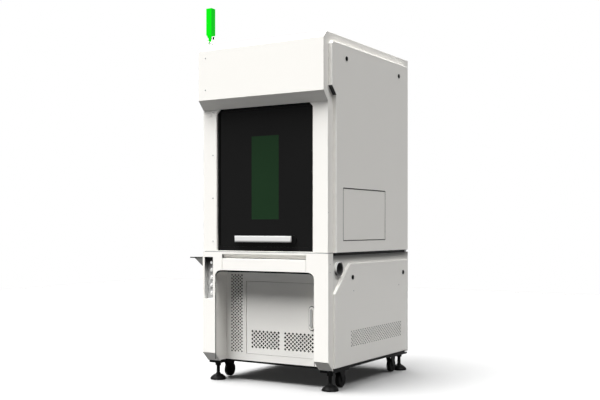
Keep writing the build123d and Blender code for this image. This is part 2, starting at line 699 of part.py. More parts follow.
# Lift door: a black frame round the pane
PANE_LOW = SILL_Z + PANE_BOTTOM_BORDER
PANE_HIGH = SOFFIT_Z - PANE_TOP_BORDER
with BuildPart() as lift_door:
    with BuildSketch(front(DOOR_BACK_Y)):
        span(-DOOR_HALF, DOOR_HALF, SILL_Z, DOOR_TOP_Z)
    extrude(amount=DOOR_THICK)
    with BuildSketch(front(DOOR_BACK_Y)):
        span(-PANE_WIDTH / 2, PANE_WIDTH / 2, PANE_LOW, PANE_HIGH)
    extrude(amount=DOOR_THICK, mode=Mode.SUBTRACT)
    with BuildSketch(front(DOOR_BACK_Y)):
        span(-PANE_REACH, PANE_REACH, PANE_LOW - PANE_LAP, PANE_HIGH + PANE_LAP)
    extrude(amount=DOOR_THICK - PANE_LIP, mode=Mode.SUBTRACT)
save(lift_door, "lift_door")

# Pane of the lift door
PANE_Y = DOOR_FRONT_Y + PANE_LIP
with BuildPart() as door_window:
    with BuildSketch(front(PANE_Y + PANE_THICK)):
        span(-PANE_REACH, PANE_REACH, PANE_LOW - PANE_LAP, PANE_HIGH + PANE_LAP)
    extrude(amount=PANE_THICK)
save(door_window, "door_window")

# Handle base: a strip with rounded ends and two posts
STRIP_FRONT_Y = PANE_Y - STRIP_THICK
HANDLE_BACK_Y = HANDLE_FRONT_Y + HANDLE_THICK
with BuildPart() as door_handle_base:
    with BuildSketch(front(PANE_Y)):
        with Locations((0, HANDLE_MID_Z)):
            SlotOverall(STRIP_LENGTH, STRIP_HEIGHT)
    extrude(amount=STRIP_THICK)
    with BuildSketch(front(STRIP_FRONT_Y)):
        with GridLocations(HANDLE_LENGTH - 2 * POST_WIDTH, 1, 2, 1):
            with Locations((0, HANDLE_MID_Z)):
                Rectangle(POST_WIDTH, HANDLE_HEIGHT - 2 * POST_INSET)
    extrude(amount=STRIP_FRONT_Y - HANDLE_BACK_Y)
save(door_handle_base, "door_handle_base")

# Handle bar on the posts
with BuildPart() as door_handle_bar:
    with BuildSketch(front(HANDLE_BACK_Y)):
        with Locations((0, HANDLE_MID_Z)):
            Rectangle(HANDLE_LENGTH, HANDLE_HEIGHT)
    extrude(amount=HANDLE_THICK)
    fillet(door_handle_bar.faces().sort_by(Axis.Y)[0].edges(), radius=HANDLE_ROUND)
save(door_handle_bar, "door_handle_bar")

# Drawer front
with BuildPart() as drawer_front:
    with BuildSketch(front(DRAWER_FRONT_THICK - FRAME_PROUD)):
        span(-DRAWER_WIDTH / 2, DRAWER_WIDTH / 2, KNEE_TOP_Z, DRAWER_TOP_Z)
    extrude(amount=DRAWER_FRONT_THICK)
    chamfer(drawer_front.faces().sort_by(Axis.Y)[0].edges(), length=1)
save(drawer_front, "drawer_front")

# Drawer tray with a rib along each side
TRAY_FRONT_Y = DRAWER_FRONT_THICK - FRAME_PROUD
with BuildPart() as drawer_tray:
    with BuildSketch(top(TRAY_FLOOR_Z)):
        span(-TRAY_WIDTH / 2, TRAY_WIDTH / 2, TRAY_FRONT_Y, TRAY_FRONT_Y + TRAY_LENGTH)
    extrude(amount=TRAY_TOP_Z - TRAY_FLOOR_Z)
    with BuildSketch(top(TRAY_FLOOR_Z + TRAY_WALL)):
        span(-TRAY_WIDTH / 2 + TRAY_WALL, TRAY_WIDTH / 2 - TRAY_WALL, TRAY_FRONT_Y + TRAY_WALL,
             TRAY_FRONT_Y + TRAY_LENGTH - TRAY_WALL)
    extrude(amount=TRAY_TOP_Z - TRAY_FLOOR_Z, mode=Mode.SUBTRACT)
    for x in (-TRAY_WIDTH / 2 - RIB_OUT, TRAY_WIDTH / 2):
        with BuildSketch(side(x)):
            span(TRAY_FRONT_Y, TRAY_FRONT_Y + TRAY_LENGTH, RIB_Z, RIB_Z + RIB_HEIGHT)
        extrude(amount=RIB_OUT)
save(drawer_tray, "drawer_tray")

# Drawer runners, hung from the work table
RUNNER_X = TRAY_WIDTH / 2 + EASY
RUNNER_FRONT_Y = SCOOP_DEPTH + SHEET + RUNNER_SPACE
RUNNER_REAR_Y = TRAY_FRONT_Y + TRAY_LENGTH + RUNNER_PAST_TRAY
with BuildPart() as drawer_rails:
    for sign in (-1, 1):
        with BuildSketch(front(RUNNER_REAR_Y)):
            span(*sorted((sign * RUNNER_X, sign * (RUNNER_X + RUNNER_THICK))), RUNNER_BOTTOM_Z, LOWER_TOP_Z)
            groove = sorted((sign * RUNNER_X, sign * (RUNNER_X + RIB_OUT)))
            span(*groove, RIB_Z - EASY, RIB_Z + RIB_HEIGHT + EASY, mode=Mode.SUBTRACT)
        extrude(amount=RUNNER_REAR_Y - RUNNER_FRONT_Y)
save(drawer_rails, "drawer_rails")

# Cabinet door: a folded tray with perforated fields, turning on two pins at its left edge
with BuildPart() as cabinet_door:
    with BuildSketch(front(RECESS_Y + HATCH_DOOR_DEPTH)):
        span(HATCH_DOOR_LEFT, HATCH_DOOR_RIGHT, HATCH_DOOR_BOTTOM, HATCH_DOOR_TOP)
    extrude(amount=HATCH_DOOR_DEPTH)
    hinge_edge = cabinet_door.edges().filter_by(Axis.Z).group_by(Axis.X)[0].sort_by(Axis.Y)[0]
    fillet(hinge_edge, radius=HINGE_RADIUS)
    with BuildSketch(front(RECESS_Y + HATCH_DOOR_DEPTH)):
        span(HATCH_DOOR_LEFT + 2 * HINGE_RADIUS, HATCH_DOOR_RIGHT - HATCH_DOOR_SHEET,
             HATCH_DOOR_BOTTOM + HATCH_DOOR_SHEET, HATCH_DOOR_TOP - HATCH_DOOR_SHEET)
    extrude(amount=HATCH_DOOR_DEPTH - HATCH_DOOR_SHEET, mode=Mode.SUBTRACT)
    with BuildSketch(top(HATCH_LOW - SHEET)):
        with Locations(DOOR_PIN):
            Circle(PIN_RADIUS)
    extrude(amount=HATCH_HIGH - HATCH_LOW + 2 * SHEET)
    with BuildSketch(front(RECESS_Y + HATCH_DOOR_SHEET)):
        for x in (VENT_LEFT_X, VENT_RIGHT_X):
            with Locations((x, VENT_MID_Z)):
                quincunx(VENT_PITCH_X, VENT_PITCH_Z, VENT_COLUMNS, VENT_ROWS, VENT_HOLE_RADIUS, Mode.ADD)
    extrude(amount=HATCH_DOOR_SHEET, mode=Mode.SUBTRACT)
    with BuildSketch(front(RECESS_Y + HATCH_DOOR_SHEET)):
        with Locations((LOCK_X, LEVER_PIVOT_Z)):
            Circle(LOCK_PIN_RADIUS + RUNNING)
    extrude(amount=HATCH_DOOR_SHEET, mode=Mode.SUBTRACT)
save(cabinet_door, "cabinet_door")

# Lock body: a rounded escutcheon on the cabinet door with a well for the lever
with BuildPart() as cabinet_lock_body:
    with BuildSketch(front(RECESS_Y)):
        with Locations((LOCK_X, LOCK_MID_Z)):
            SlotOverall(LOCK_HEIGHT, LOCK_WIDTH, rotation=90)
    extrude(amount=LOCK_THICK)
    chamfer(cabinet_lock_body.faces().sort_by(Axis.Y)[0].edges(), length=1)
    with BuildSketch(front(RECESS_Y)):
        with Locations((LOCK_X, LEVER_PIVOT_Z)):
            Circle(LOCK_PIN_RADIUS + RUNNING)
    extrude(amount=LOCK_THICK, mode=Mode.SUBTRACT)
save(cabinet_lock_body, "cabinet_lock_body")

# Lock lever: turns on its pin, which passes through the escutcheon and the door
LEVER_BACK_Y = RECESS_Y - LOCK_THICK
with BuildPart() as cabinet_lock_handle:
    with BuildSketch(front(LEVER_BACK_Y)):
        with Locations((LOCK_X, LEVER_PIVOT_Z)):
            Circle(LEVER_BOSS)
        with Locations((LOCK_X, LEVER_PIVOT_Z + LEVER_LENGTH / 2)):
            SlotOverall(LEVER_LENGTH, LEVER_WIDTH, rotation=90)
    extrude(amount=LEVER_THICK)
    fillet(cabinet_lock_handle.faces().sort_by(Axis.Y)[0].edges(), radius=LEVER_ROUND)
    with BuildSketch(front(LEVER_BACK_Y)):
        with Locations((LOCK_X, LEVER_PIVOT_Z)):
            Circle(LOCK_PIN_RADIUS)
    extrude(amount=-(LOCK_THICK + HATCH_DOOR_SHEET + LOCK_PIN_TAIL))
save(cabinet_lock_handle, "cabinet_lock_handle")


def upper_outline(inset):
    """Closed outline of an upper side panel, drawn in by an inset, in y and z."""
    Polygon(
        (UPPER_PANEL_FRONT_Y, UPPER_PANEL_NOTCH_Z),
        (UPPER_PANEL_NOTCH_Y, UPPER_PANEL_NOTCH_Z - UPPER_PANEL_NOTCH_Y + UPPER_PANEL_FRONT_Y),
        (UPPER_PANEL_NOTCH_Y, UPPER_PANEL_BOTTOM_Z),
        (UPPER_PANEL_REAR_Y, UPPER_PANEL_BOTTOM_Z),
        (UPPER_PANEL_REAR_Y, UPPER_PANEL_TOP_Z),
        (UPPER_PANEL_FRONT_Y + UPPER_PANEL_CORNER, UPPER_PANEL_TOP_Z),
        (UPPER_PANEL_FRONT_Y, UPPER_PANEL_TOP_Z - UPPER_PANEL_CORNER),
        align=None,
    )
    if inset:
        offset(amount=-inset, kind=Kind.INTERSECTION, mode=Mode.REPLACE)


def lower_outline(inset):
    """Closed outline of a lower side panel, drawn in by an inset, in y and z."""
    Polygon(
        (LOWER_PANEL_FRONT_Y, LOWER_PANEL_BOTTOM_Z),
        (LOWER_PANEL_REAR_Y, LOWER_PANEL_BOTTOM_Z),
        (LOWER_PANEL_REAR_Y, LOWER_PANEL_TOP_Z),
        (LOWER_PANEL_CUT_Y, LOWER_PANEL_TOP_Z),
        (LOWER_PANEL_FRONT_Y, LOWER_PANEL_CUT_Z),
        align=None,
    )
    if inset:
        offset(amount=-inset, kind=Kind.INTERSECTION, mode=Mode.REPLACE)


def latch_holes(places, x, depth):
    """Holes for the shafts of the quarter-turn latches."""
    with BuildSketch(side(x)) as holes:
        with Locations(*places):
            Circle(LATCH_SHAFT + RUNNING)
    extrude(holes.sketch, amount=depth, mode=Mode.SUBTRACT)


# Side panels: folded trays on the flanks, the upper one with a reveal for the hatch on the right
HATCH_AXIS = (HALF + UPPER_PANEL_OUT - HINGE_RADIUS, HATCH_REAR_Y - GAP_LINE - HINGE_RADIUS)
UPPER_FACE_X = HALF + UPPER_PANEL_OUT
LOWER_FACE_X = HALF + LOWER_PANEL_OUT
with BuildPart() as upper_side_panel_right:
    with BuildSketch(side(HALF)):
        upper_outline(0)
    extrude(amount=UPPER_PANEL_OUT)
    fillet(upper_side_panel_right.faces().sort_by(Axis.X)[-1].edges(), radius=PANEL_ROUND)
    with BuildSketch(side(HALF)):
        upper_outline(PANEL_SHEET)
    extrude(amount=UPPER_PANEL_OUT - PANEL_SHEET, mode=Mode.SUBTRACT)
    with BuildSketch(side(HALF)):
        span(HATCH_FRONT_Y - SHEET, HATCH_REAR_Y + SHEET, HATCH_BOTTOM_Z - SHEET, HATCH_TOP_Z + SHEET)
    extrude(amount=UPPER_PANEL_OUT)
    with BuildSketch(side(HALF)):
        span(HATCH_FRONT_Y, HATCH_REAR_Y, HATCH_BOTTOM_Z, HATCH_TOP_Z)
    extrude(amount=UPPER_PANEL_OUT, mode=Mode.SUBTRACT)
    with BuildSketch(side(UPPER_FACE_X - 2 * HATCH_SHEET)):
        span(HATCH_FRONT_Y, HATCH_REAR_Y - 3 * HINGE_RADIUS, HATCH_BOTTOM_Z, HATCH_TOP_Z)
        span(HATCH_FRONT_Y + HATCH_LAP, HATCH_REAR_Y, HATCH_BOTTOM_Z + HATCH_LAP, HATCH_TOP_Z - HATCH_LAP,
             mode=Mode.SUBTRACT)
    extrude(amount=HATCH_SHEET)
    with BuildSketch(top(HATCH_BOTTOM_Z - SHEET)):
        with Locations(HATCH_AXIS):
            Circle(PIN_RADIUS + RUNNING)
    extrude(amount=HATCH_TOP_Z - HATCH_BOTTOM_Z + 2 * SHEET, mode=Mode.SUBTRACT)
    latch_holes(UPPER_LATCHES, HALF, UPPER_PANEL_OUT)
save(upper_side_panel_right, "upper_side_panel_right")


def side_vents(x, depth):
    """Field of staggered holes low in a side panel."""
    length = SIDE_VENT_REAR_Y - SIDE_VENT_FRONT_Y
    with BuildSketch(side(x)) as vents:
        with Locations(((SIDE_VENT_REAR_Y + SIDE_VENT_FRONT_Y) / 2, SIDE_VENT_MID_Z)):
            quincunx(length / SIDE_VENT_COLUMNS, SIDE_VENT_PITCH_Z, SIDE_VENT_COLUMNS, SIDE_VENT_ROWS,
                     SIDE_HOLE_RADIUS, mode=Mode.ADD)
    extrude(vents.sketch, amount=depth, mode=Mode.SUBTRACT)


with BuildPart() as lower_side_panel_right:
    with BuildSketch(side(HALF)):
        lower_outline(0)
    extrude(amount=LOWER_PANEL_OUT)
    fillet(lower_side_panel_right.faces().sort_by(Axis.X)[-1].edges(), radius=PANEL_ROUND)
    with BuildSketch(side(HALF)):
        lower_outline(PANEL_SHEET)
    extrude(amount=LOWER_PANEL_OUT - PANEL_SHEET, mode=Mode.SUBTRACT)
    side_vents(HALF, LOWER_PANEL_OUT)
    latch_holes(LOWER_LATCHES, HALF, LOWER_PANEL_OUT)
save(lower_side_panel_right, "lower_side_panel_right")


def latch_head(face_x, y, z):
    """Head of a latch on a side panel's face: a disc with a raised grip."""
    with BuildSketch(side(face_x)) as disc:
        with Locations((y, z)):
            Circle(LATCH_RADIUS)
    extrude(disc.sketch, amount=LATCH_OUT / 2)
    with BuildSketch(side(face_x)) as grip:
        with Locations((y, z)):
            SlotOverall(2 * LATCH_RADIUS - 2, LATCH_SHAFT, rotation=90)
    extrude(grip.sketch, amount=LATCH_OUT)


LATCHES = (
    ("upper_front_latch", UPPER_FACE_X, UPPER_LATCHES[0]),
    ("upper_rear_latch", UPPER_FACE_X, UPPER_LATCHES[1]),
    ("lower_front_latch", LOWER_FACE_X, LOWER_LATCHES[0]),
    ("lower_rear_latch", LOWER_FACE_X, LOWER_LATCHES[1]),
)
for name, face_x, (y, z) in LATCHES:
    with BuildPart() as latch:
        latch_head(face_x, y, z)
        with BuildSketch(side(face_x - PANEL_SHEET - EASY)):
            with Locations((y, z)):
                Circle(LATCH_SHAFT)
        extrude(amount=PANEL_SHEET + EASY)
        with BuildSketch(side(face_x - PANEL_SHEET - EASY - LATCH_CAM_THICK)):
            with Locations((y, z)):
                Circle(LATCH_RADIUS / 2)
            with Locations((y, z + LATCH_CAM_LENGTH / 2)):
                Rectangle(LATCH_RADIUS, LATCH_CAM_LENGTH)
        extrude(amount=LATCH_CAM_THICK)
    save(latch, name)

# Left side panels: the right ones mirrored, without hatch, with their latches fixed
with BuildPart() as upper_side_panel_left:
    with BuildSketch(side(-HALF)):
        upper_outline(0)
    extrude(amount=-UPPER_PANEL_OUT)
    fillet(upper_side_panel_left.faces().sort_by(Axis.X)[0].edges(), radius=PANEL_ROUND)
    with BuildSketch(side(-HALF)):
        upper_outline(PANEL_SHEET)
    extrude(amount=PANEL_SHEET - UPPER_PANEL_OUT, mode=Mode.SUBTRACT)
    with BuildSketch(side(-UPPER_FACE_X)):
        with Locations(*UPPER_LATCHES):
            Circle(LATCH_RADIUS)
    extrude(amount=-LATCH_OUT / 2)
save(upper_side_panel_left, "upper_side_panel_left")

with BuildPart() as lower_side_panel_left:
    with BuildSketch(side(-HALF)):
        lower_outline(0)
    extrude(amount=-LOWER_PANEL_OUT)
    fillet(lower_side_panel_left.faces().sort_by(Axis.X)[0].edges(), radius=PANEL_ROUND)
    with BuildSketch(side(-HALF)):
        lower_outline(PANEL_SHEET)
    extrude(amount=PANEL_SHEET - LOWER_PANEL_OUT, mode=Mode.SUBTRACT)
    side_vents(-HALF, -LOWER_PANEL_OUT)
    with BuildSketch(side(-LOWER_FACE_X)):
        with Locations(*LOWER_LATCHES):
            Circle(LATCH_RADIUS)
    extrude(amount=-LATCH_OUT / 2)
save(lower_side_panel_left, "lower_side_panel_left")

# Access hatch: a plate with a rolled hinge edge and two pins
with BuildPart() as access_hatch:
    with BuildSketch(side(UPPER_FACE_X - HATCH_SHEET)):
        span(HATCH_FRONT_Y + GAP_LINE, HATCH_AXIS[1], HATCH_BOTTOM_Z + GAP_LINE, HATCH_TOP_Z - GAP_LINE)
    extrude(amount=HATCH_SHEET)
    with BuildSketch(top(HATCH_BOTTOM_Z + GAP_LINE)):
        with Locations(HATCH_AXIS):
            Circle(HINGE_RADIUS)
    extrude(amount=HATCH_TOP_Z - HATCH_BOTTOM_Z - 2 * GAP_LINE)
    with BuildSketch(top(HATCH_BOTTOM_Z - SHEET)):
        with Locations(HATCH_AXIS):
            Circle(PIN_RADIUS)
    extrude(amount=HATCH_TOP_Z - HATCH_BOTTOM_Z + 2 * SHEET)
save(access_hatch, "access_hatch")

# Rear panels on the rear flanges
for name, low, high in (
    ("upper_rear_panel", DECK_Z + REAR_FLANGE / 2, ROOF_Z - SHEET - REAR_FLANGE / 2),
    ("lower_rear_panel", BASE_TOP_Z + REAR_FLANGE / 2, LOWER_TOP_Z - REAR_FLANGE / 2),
):
    with BuildPart() as rear_panel:
        with BuildSketch(front(BODY_DEPTH)):
            span(-INNER + REAR_FLANGE / 2, INNER - REAR_FLANGE / 2, low, high)
            with Locations((0, high - 3 * FLANGE)):
                quincunx(VENT_PITCH_X * 2, VENT_PITCH_Z * 2, VENT_ROWS, 3, VENT_HOLE_RADIUS)
        extrude(amount=SHEET)
    save(rear_panel, name)

# Base of the signal lamp: a foot with two ears and the pivot pin
LAMP_EAR_X = LAMP_KNUCKLE_WIDTH / 2 + EASY
with BuildPart() as lamp_base:
    with BuildSketch(top(ROOF_Z)):
        with Locations((LAMP_X, LAMP_Y + LAMP_EAR)):
            RectangleRounded(LAMP_BASE_WIDTH, LAMP_SIZE, radius=LAMP_EAR)
    extrude(amount=LAMP_BASE_HEIGHT)
    for x in (LAMP_X - LAMP_EAR_X - LAMP_EAR, LAMP_X + LAMP_EAR_X):
        with BuildSketch(side(x)):
            with Locations((LAMP_Y, LAMP_PIVOT_Z)):
                Circle(LAMP_EAR_RADIUS)
            span(LAMP_Y - LAMP_EAR_RADIUS, LAMP_Y + LAMP_EAR_RADIUS, ROOF_Z + LAMP_BASE_HEIGHT, LAMP_PIVOT_Z)
        extrude(amount=LAMP_EAR)
    with BuildSketch(side(LAMP_X - LAMP_EAR_X)):
        with Locations((LAMP_Y, LAMP_PIVOT_Z)):
            Circle(LAMP_PIN_RADIUS)
    extrude(amount=2 * LAMP_EAR_X)
save(lamp_base, "lamp_base")

# Signal lamp: a square bar on a knuckle, folding back over the roof
LAMP_HALF = LAMP_SIZE / 2
with BuildPart() as signal_lamp:
    with BuildSketch(side(LAMP_X - LAMP_KNUCKLE_WIDTH / 2)):
        with Locations((LAMP_Y, LAMP_PIVOT_Z)):
            Circle(LAMP_KNUCKLE)
        span(LAMP_Y - LAMP_KNUCKLE, LAMP_Y + LAMP_KNUCKLE, LAMP_PIVOT_Z, LAMP_SHOULDER_Z)
    extrude(amount=LAMP_KNUCKLE_WIDTH)
    with BuildSketch(top(LAMP_SHOULDER_Z)):
        with Locations((LAMP_X, LAMP_Y)):
            Rectangle(LAMP_SIZE - LAMP_TAPER, LAMP_SIZE - LAMP_TAPER)
    with BuildSketch(top(LAMP_BODY_Z)):
        with Locations((LAMP_X, LAMP_Y)):
            Rectangle(LAMP_SIZE, LAMP_SIZE)
    loft()
    with BuildSketch(top(LAMP_BODY_Z)):
        with Locations((LAMP_X, LAMP_Y)):
            RectangleRounded(LAMP_SIZE, LAMP_SIZE, radius=LAMP_ROUND)
    extrude(amount=LAMP_TOP_Z - LAMP_BODY_Z)
    with BuildSketch(side(LAMP_X - LAMP_HALF)):
        with Locations((LAMP_Y, LAMP_PIVOT_Z)):
            Circle(LAMP_PIN_RADIUS + RUNNING)
    extrude(amount=LAMP_SIZE, mode=Mode.SUBTRACT)
save(signal_lamp, "signal_lamp")

# Levelling feet: domed pad, stud and nut under a mounting plate
FEET = {
    "levelling_foot_front_left": (-FOOT_X, FOOT_FRONT_Y),
    "levelling_foot_front_right": (FOOT_X, FOOT_FRONT_Y),
    "levelling_foot_rear_left": (-FOOT_X, FOOT_REAR_Y),
    "levelling_foot_rear_right": (FOOT_X, FOOT_REAR_Y),
}
for name, (x, y) in FEET.items():
    axis = Axis((x - MIDDLE_X, y - MIDDLE_Y, 0), (0, 0, 1))
    with BuildPart() as levelling_foot:
        with BuildSketch(upright(x, y)):
            with BuildLine():
                l1 = Polyline((0, 0), (FOOT_RADIUS, 0), (FOOT_RADIUS, FOOT_RIM))
                shoulder = (FOOT_RADIUS * 0.75, FOOT_RIM + FOOT_BULGE)
                l2 = ThreePointArc(l1 @ 1, shoulder, (FOOT_NECK, FOOT_DOME_Z))
                l3 = Polyline(l2 @ 1, (STUD_RADIUS, FOOT_DOME_Z + FOOT_CONE), (STUD_RADIUS, BASE_TOP_Z))
                Polyline(l3 @ 1, (0, BASE_TOP_Z), (0, 0))
            make_face()
        revolve(axis=axis)
        with BuildSketch(top(PAD_Z - NUT_HEIGHT)):
            with Locations((x, y)):
                RegularPolygon(NUT_ACROSS / 2, 6, major_radius=False)
        extrude(amount=NUT_HEIGHT)
    save(levelling_foot, name)

# Swivel casters: a fork on its kingpin and a wheel on the fork's axle
CASTERS = {
    "front_left": (-CASTER_X, CASTER_FRONT_Y),
    "front_right": (CASTER_X, CASTER_FRONT_Y),
    "rear_left": (-CASTER_X, CASTER_REAR_Y),
    "rear_right": (CASTER_X, CASTER_REAR_Y),
}
WHEEL_Z = WHEEL_CLEAR + WHEEL_RADIUS
LEG_X = WHEEL_WIDTH / 2 + 1
CROWN_Z = PAD_Z - EASY
for name, (x, y) in CASTERS.items():
    wheel_y = y + CASTER_TRAIL
    with BuildPart() as caster_fork:
        with BuildSketch(top(CROWN_Z - FORK_SHEET)):
            with Locations((x, y)):
                Circle(FORK_CROWN)
            with Locations((x, (y + wheel_y) / 2)):
                RectangleRounded(2 * (LEG_X + FORK_SHEET), 2 * FORK_CROWN + CASTER_TRAIL, radius=FORK_SHEET)
        extrude(amount=FORK_SHEET)
        with BuildSketch(side(x - LEG_X - FORK_SHEET)):
            with BuildLine():
                l1 = Line((y - FORK_CROWN, CROWN_Z), (y + CASTER_TRAIL + FORK_CROWN, CROWN_Z))
                l2 = Line(l1 @ 1, (wheel_y + 2 * AXLE_RADIUS, WHEEL_Z))
                l3 = RadiusArc(l2 @ 1, (wheel_y - 2 * AXLE_RADIUS, WHEEL_Z), 2 * AXLE_RADIUS)
                Line(l3 @ 1, l1 @ 0)
            make_face()
        extrude(amount=2 * (LEG_X + FORK_SHEET))
        with BuildSketch(top(0)):
            with Locations((x, wheel_y)):
                Rectangle(2 * LEG_X, 2 * WHEEL_RADIUS + 2 * FORK_CROWN)
        extrude(amount=CROWN_Z - FORK_SHEET, mode=Mode.SUBTRACT)
        with BuildSketch(side(x - LEG_X)):
            with Locations((wheel_y, WHEEL_Z)):
                Circle(AXLE_RADIUS)
        extrude(amount=2 * LEG_X)
        with BuildSketch(top(CROWN_Z)):
            with Locations((x, y)):
                Circle(KINGPIN_RADIUS)
        extrude(amount=BASE_Z - CROWN_Z)
    save(caster_fork, f"caster_fork_{name}")

    with BuildPart() as caster_wheel:
        with BuildSketch(side(x - WHEEL_WIDTH / 2)):
            with Locations((wheel_y, WHEEL_Z)):
                Circle(WHEEL_RADIUS)
        extrude(amount=WHEEL_WIDTH)
        rims = caster_wheel.edges().filter_by(GeomType.CIRCLE)
        fillet(rims, radius=4)
        with BuildSketch(side(x - WHEEL_WIDTH / 2)):
            with Locations((wheel_y, WHEEL_Z)):
                Circle(AXLE_RADIUS + RUNNING)
        extrude(amount=WHEEL_WIDTH, mode=Mode.SUBTRACT)
    save(caster_wheel, f"caster_wheel_{name}")

# Work stage: the lower slide runs on the table's rails, the upper one across it
BLOCK_WIDTH = STAGE_RAIL + 2 * (BLOCK_WALL + EASY)
SLIDE_Z = DECK_Z + STAGE_RAIL_HEIGHT + EASY
UPPER_RAIL_Z = SLIDE_Z + SLIDE_THICK
with BuildPart() as stage_y_slide:
    with BuildSketch(top(SLIDE_Z)):
        with Locations((0, STAGE_Y)):
            Rectangle(SLIDE_SIZE + 2 * STAGE_X_TRAVEL, SLIDE_SIZE)
    extrude(amount=SLIDE_THICK)
    with BuildSketch(top(DECK_Z + 2)):
        for sign in (-1, 1):
            with Locations((sign * STAGE_RAIL_SPREAD / 2, STAGE_Y)):
                Rectangle(BLOCK_WIDTH, SLIDE_SIZE)
                Rectangle(STAGE_RAIL + 2 * EASY, SLIDE_SIZE, mode=Mode.SUBTRACT)
    extrude(amount=SLIDE_Z - DECK_Z - 2)
    with BuildSketch(top(UPPER_RAIL_Z)):
        with Locations((0, STAGE_Y)):
            with GridLocations(1, STAGE_RAIL_SPREAD - STAGE_RAIL, 1, 2):
                Rectangle(SLIDE_SIZE + 2 * STAGE_X_TRAVEL, STAGE_RAIL)
    extrude(amount=STAGE_RAIL_HEIGHT)
save(stage_y_slide, "stage_y_slide")

TOP_SLIDE_Z = UPPER_RAIL_Z + STAGE_RAIL_HEIGHT + EASY
with BuildPart() as stage_x_slide:
    with BuildSketch(top(TOP_SLIDE_Z)):
        with Locations((0, STAGE_Y)):
            Rectangle(SLIDE_SIZE, SLIDE_SIZE)
    extrude(amount=SLIDE_THICK)
    with BuildSketch(top(UPPER_RAIL_Z + 2)):
        with Locations((0, STAGE_Y)):
            with GridLocations(1, STAGE_RAIL_SPREAD - STAGE_RAIL, 1, 2):
                Rectangle(SLIDE_SIZE, BLOCK_WIDTH)
                Rectangle(SLIDE_SIZE, STAGE_RAIL + 2 * EASY, mode=Mode.SUBTRACT)
    extrude(amount=TOP_SLIDE_Z - UPPER_RAIL_Z - 2)
    with BuildSketch(top(TOP_SLIDE_Z + SLIDE_THICK)):
        with Locations((0, STAGE_Y)):
            RectangleRounded(JIG_SIZE, JIG_SIZE, radius=JIG_ROUND)
            with GridLocations(JIG_SIZE / 3, JIG_SIZE / 3, 2, 2):
                Rectangle(JIG_SIZE / 5, JIG_SIZE / 5, mode=Mode.SUBTRACT)
    extrude(amount=JIG_THICK)
save(stage_x_slide, "stage_x_slide")

# Z column behind the stage, with two upright rails
COLUMN_RAIL_Y = COLUMN_FRONT_Y - STAGE_RAIL_HEIGHT
with BuildPart() as z_column:
    with BuildSketch(top(DECK_Z)):
        with Locations((0, COLUMN_FRONT_Y + COLUMN_DEPTH / 2)):
            Rectangle(COLUMN_WIDTH + FLANGE, COLUMN_DEPTH + FLANGE / 2)
    extrude(amount=SLIDE_THICK)
    with BuildSketch(top(DECK_Z)):
        with Locations((0, COLUMN_FRONT_Y + COLUMN_DEPTH / 2)):
            Rectangle(COLUMN_WIDTH, COLUMN_DEPTH)
    extrude(amount=COLUMN_TOP_Z - DECK_Z)
    with BuildSketch(top(CARRIAGE_Z - COLUMN_WIDTH)):
        for sign in (-1, 1):
            with Locations((sign * COLUMN_RAIL_SPREAD / 2, COLUMN_FRONT_Y - STAGE_RAIL_HEIGHT / 2)):
                Rectangle(STAGE_RAIL, STAGE_RAIL_HEIGHT)
    extrude(amount=COLUMN_TOP_Z - CARRIAGE_Z + COLUMN_WIDTH)
save(z_column, "z_column")

# Z carriage: blocks round the rails, a plate and the arm that carries the laser
PLATE_Y = COLUMN_RAIL_Y - EASY
with BuildPart() as z_carriage:
    with BuildSketch(top(CARRIAGE_Z)):
        with Locations((0, PLATE_Y - SLIDE_THICK / 2)):
            Rectangle(COLUMN_WIDTH, SLIDE_THICK)
    extrude(amount=CARRIAGE_HEIGHT)
    with BuildSketch(top(CARRIAGE_Z)):
        for sign in (-1, 1):
            with Locations((sign * COLUMN_RAIL_SPREAD / 2, (PLATE_Y + COLUMN_FRONT_Y - 2) / 2)):
                Rectangle(BLOCK_WIDTH, COLUMN_FRONT_Y - 2 - PLATE_Y)
                Rectangle(STAGE_RAIL + 2 * EASY, COLUMN_FRONT_Y - 2 - PLATE_Y, mode=Mode.SUBTRACT)
    extrude(amount=CARRIAGE_HEIGHT)
    with BuildSketch(top(CARRIAGE_Z)):
        span(-COLUMN_WIDTH / 2, COLUMN_WIDTH / 2, PLATE_Y - SLIDE_THICK - ARM_REACH, PLATE_Y - SLIDE_THICK)
    extrude(amount=ARM_THICK)
    for x in (-COLUMN_WIDTH / 2, COLUMN_WIDTH / 2 - BLOCK_WALL):
        with BuildSketch(side(x)):
            Polygon(
                (PLATE_Y - SLIDE_THICK, CARRIAGE_Z + ARM_THICK),
                (PLATE_Y - SLIDE_THICK, CARRIAGE_Z + CARRIAGE_HEIGHT),
                (PLATE_Y - SLIDE_THICK - CARRIAGE_HEIGHT, CARRIAGE_Z + ARM_THICK),
                align=None,
            )
        extrude(amount=BLOCK_WALL)
    ARM_FRONT_Y = PLATE_Y - SLIDE_THICK - ARM_REACH
    LASER_FRONT_Y = ARM_FRONT_Y + HEAD_SIZE
    HEAD_MID_Y = ARM_FRONT_Y + HEAD_SIZE / 2
    with BuildSketch(top(CARRIAGE_Z)):
        with Locations((0, HEAD_MID_Y)):
            Circle(LENS_RADIUS + EASY)
    extrude(amount=ARM_THICK, mode=Mode.SUBTRACT)
save(z_carriage, "z_carriage")

# Laser source on the arm, scan head in front of it and the focusing lens below
ARM_TOP_Z = CARRIAGE_Z + ARM_THICK
with BuildPart() as laser_source:
    with BuildSketch(top(ARM_TOP_Z)):
        span(-LASER_WIDTH / 2, LASER_WIDTH / 2, LASER_FRONT_Y, LASER_FRONT_Y + LASER_LENGTH)
    extrude(amount=LASER_HEIGHT)
    chamfer(laser_source.edges().filter_by(Axis.Y), length=4)
save(laser_source, "laser_source")

